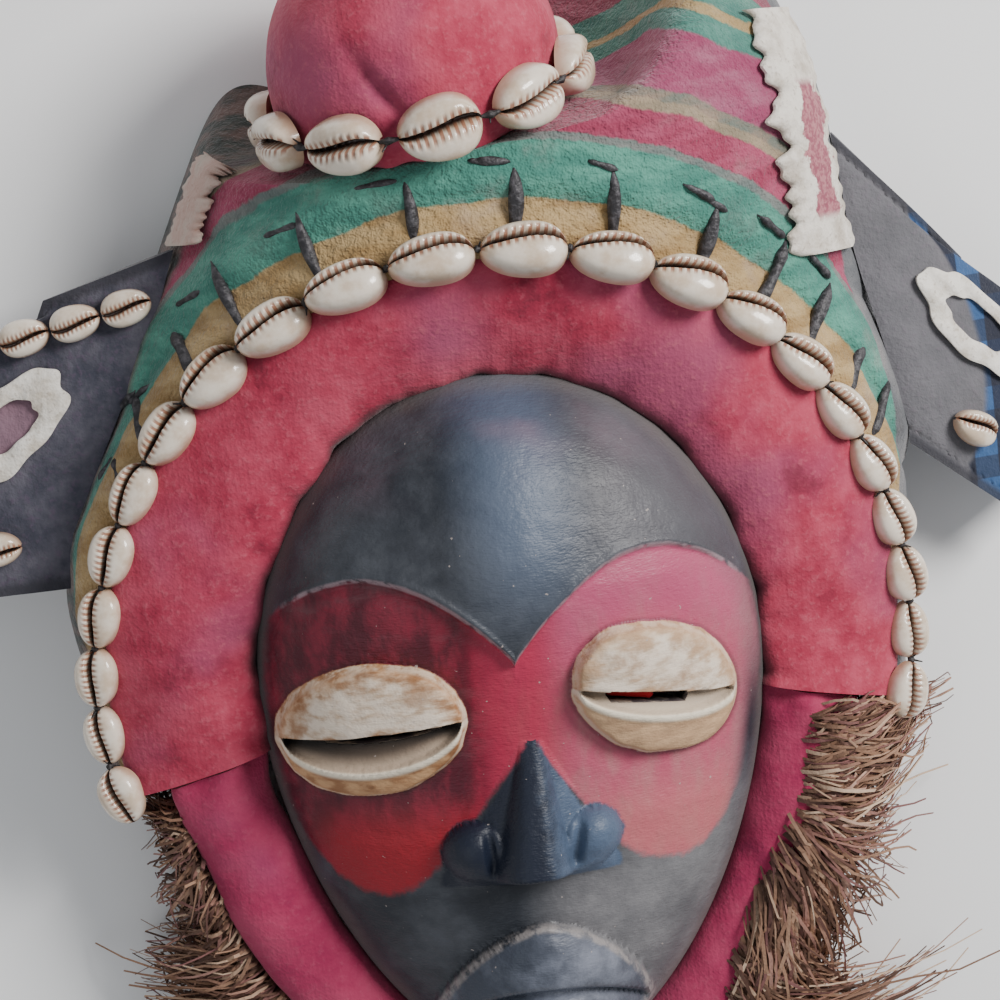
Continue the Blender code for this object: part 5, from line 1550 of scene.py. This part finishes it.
LOOP_HIDE = loop_hide()
for label, side in (("left", -1), ("right", 1)):
    turns = np.linspace(0, 2 * np.pi, 120, endpoint=False)
    waver = 1 + 0.05 * np.sin(turns * 5 + side) + 0.035 * np.sin(turns * 9 + 1)
    rings = []
    for radius_out, radius_up, raised in LOOP_SECTION:
        out = LOOP_OUT + radius_out * np.cos(turns) * waver
        up_share = LOOP_UP + radius_up * np.sin(turns) * waver
        ring = ear_point(side, up_share, out)
        ring[:, 2] += EAR_THICKNESS / 2 + 0.0004 + raised * HIDE_THICKNESS * 0.8
        ring[:, 2] += 0.0003 * np.sin(turns * 7)
        rings.append(ring)
    rings = np.array(rings)
    columns = len(turns)
    faces = grid_faces(len(rings), columns, 0, True)
    last_row = (len(rings) - 1) * columns
    faces += [(last_row + j, last_row + (j + 1) % columns, (j + 1) % columns, j) for j in range(columns)]
    loop = new_piece(f"hide_loop_{label}", rings.reshape(-1, 3), faces, LOOP_HIDE)
    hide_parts(f"ear_loop_{label}")
    if side < 0:
        turn_place = math.radians(24)
        foot = EAR_SHAPES[side][0] + EAR_LENGTH + LAID_LIFT
        rows = np.linspace(foot, foot + 0.030, 60)
        width_share = 0.62
    else:
        turn_place = math.pi - math.radians(36)
        rows = np.linspace(0.108, 0.180, 90)
        width_share = 1.0
    jag = np.linspace(0, 1, len(rows))
    half_turns = 0.155 + 0.055 * np.abs(np.sin(4.2 * np.pi * jag + 0.4))
    half_turns = (half_turns + 0.025 * np.sin(37 * jag) + 0.015 * np.sin(83 * jag)) * width_share
    across_strip = np.linspace(-1, 1, 25)
    thick = 1 - np.abs(across_strip) ** 6 * 0.6
    front_points = []
    back_points = []
    for y_row, half_turn in zip(rows, half_turns):
        strip_turns = turn_place + half_turn * across_strip
        under = cap_surface(np.array(y_row), strip_turns, -HIDE_CLEARANCE)
        over = cap_surface(np.array(y_row), strip_turns, -HIDE_CLEARANCE - HIDE_THICKNESS)
        back_points.append(under)
        front_points.append(under + (over - under) * thick[:, None])
    points, faces = closed_slab(np.array(front_points), np.array(back_points))
    fields = {
        "across": np.tile(across_strip, 2 * len(rows)),
        "down": np.tile(np.repeat(jag, len(across_strip)), 2),
    }
    strip = new_piece(f"hide_strip_{label}", points, faces, shoulder_hide(label), fields)
    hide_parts(f"shoulder_hide_{label}")


# Raffia beard
# A thick fringe of raw raffia, knotted on a cord along the jaw roll. It is dry, tangled and
# uneven, bushy on the right and thinner on the left.

STRANDS = 4300
STRAND_POINTS = 8
BEARD_REACH = 0.045


def dry_raffia():
    """Straw, dark to pale, with painted shade at the roots and on deep strands, some of it stained pink by
    the cloth's dye.
    """
    f = Finish("dry_raffia", 0.8)
    tone = f.field("tone")
    fine = f.noise(0.0015, 4, 0.7, (1, 1, 1), 20.0)
    colour = f.lay((0.085, 0.036, 0.022), (0.40, 0.225, 0.140), f.near(tone, 0.05, 0.60))
    colour = f.lay(colour, (0.66, 0.47, 0.33), f.near(tone, 0.60, 0.90))
    colour = f.lay(colour, (0.36, 0.15, 0.15), f.times(f.near(f.field("pink"), 0.6, 0.9), 0.5))
    colour = f.lay(colour, (0.07, 0.04, 0.03), f.times(f.near(fine, 0.55, 0.75), 0.4))
    # Painted shade at the strands' roots, under the jaw roll
    colour = f.lay(colour, (0.040, 0.018, 0.012), f.times(f.near(f.field("tip"), 0.40, 0.05), 0.5))
    f.paint(colour)
    f.raise_by(fine, 0.0003)
    return f.material


odd = np.random.RandomState(23)
beard_inner = float(outline_reach(end)) + JAW_ROLL_WIDTH
beard_end = math.asin((4 * GAP - CAP_SKIRT) / beard_inner)
along_share = np.linspace(0, 1, STRAND_POINTS)
strand_points = []
strand_faces = []
tones = []
tips = []
pinks = []
start = 0
for number in range(STRANDS):
    share = odd.uniform(0, 1)
    angle = math.pi + beard_end + (math.pi - 2 * beard_end) * share
    ends_reach = 0.015 + 0.015 * share
    reach = ends_reach + (BEARD_REACH - ends_reach) * math.sin(math.pi * share)
    clump = 0.5 + 0.5 * math.sin(share * 95 + 2 * math.sin(share * 31))
    reach = reach * (0.56 + 0.34 * clump + 0.24 * odd.uniform(-1, 1))
    over_roll = 0.019 * soft_step((share - 0.45) / 0.25) * odd.uniform(0, 1)
    inner = float(outline_reach(angle)) + JAW_ROLL_WIDTH - 0.001 - over_roll
    root_z = float(face_rim_height(inner * math.sin(angle))) - 0.003
    depth = odd.uniform(0, 1)
    if over_roll > 0.002:
        depth = 0.0
    z_start = root_z - 0.002 - depth * 0.014 + min(over_roll, 0.009)
    z_end = (root_z * 0.155 + 0.006) * (1 - 0.85 * depth) + odd.uniform(-0.003, 0.010)
    z_end = max(0.0012, z_end)
    bulge = 0.012 * (1 - 0.5 * depth)
    tuft = int(share * 52)
    swerve = 0.62 * math.sin(tuft * 12.9898) + odd.uniform(-1, 1) * 0.42
    turn = angle + swerve * (reach + over_roll) / inner * along_share + 0.012 * (clump - 0.5)
    turn = np.clip(turn, math.pi + beard_end - 0.06, 2 * math.pi - beard_end + 0.06)
    distance = inner + (reach + over_roll) * along_share
    height = z_start + (z_end - z_start) * along_share**1.5 + bulge * np.sin(np.pi * along_share**0.8)
    path = round_points(distance, turn, height)
    twist = odd.uniform(2, 8)
    phase = odd.uniform(0, 6)
    curl = odd.uniform(-1, 1, (2, 3)) * 0.0044
    waves = np.stack([np.sin(along_share * twist + phase), np.cos(along_share * twist * 1.3 + phase)], -1)
    path = path + (waves @ curl) * (0.25 + 0.75 * along_share)[:, None]
    path[:, 2] = np.maximum(path[:, 2], 0.0006)
    thick = odd.uniform(0.00025, 0.00085) * (1 - 0.55 * along_share)
    points, faces = cord_along(path, thick, 3)
    strand_points.append(points)
    strand_faces += [tuple(i + start for i in face) for face in faces]
    start += len(points)
    tuft_tone = 0.80 + 0.28 * math.sin(tuft * 78.233)
    # Each strand's tone varies at random and is darker the deeper it lies: painted shade under the strands
    # above
    tones += [min(odd.uniform(0, 1) * (1 - 0.4 * depth) * tuft_tone, 1)] * len(points)
    tips += np.repeat(along_share, 3).tolist()
    pinks += [odd.uniform(0, 1)] * len(points)
fields = {"tone": tones, "pink": pinks, "tip": tips}
raffia = new_piece("raffia_fringe", np.concatenate(strand_points), strand_faces, dry_raffia(), fields)
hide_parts("raffia_beard")
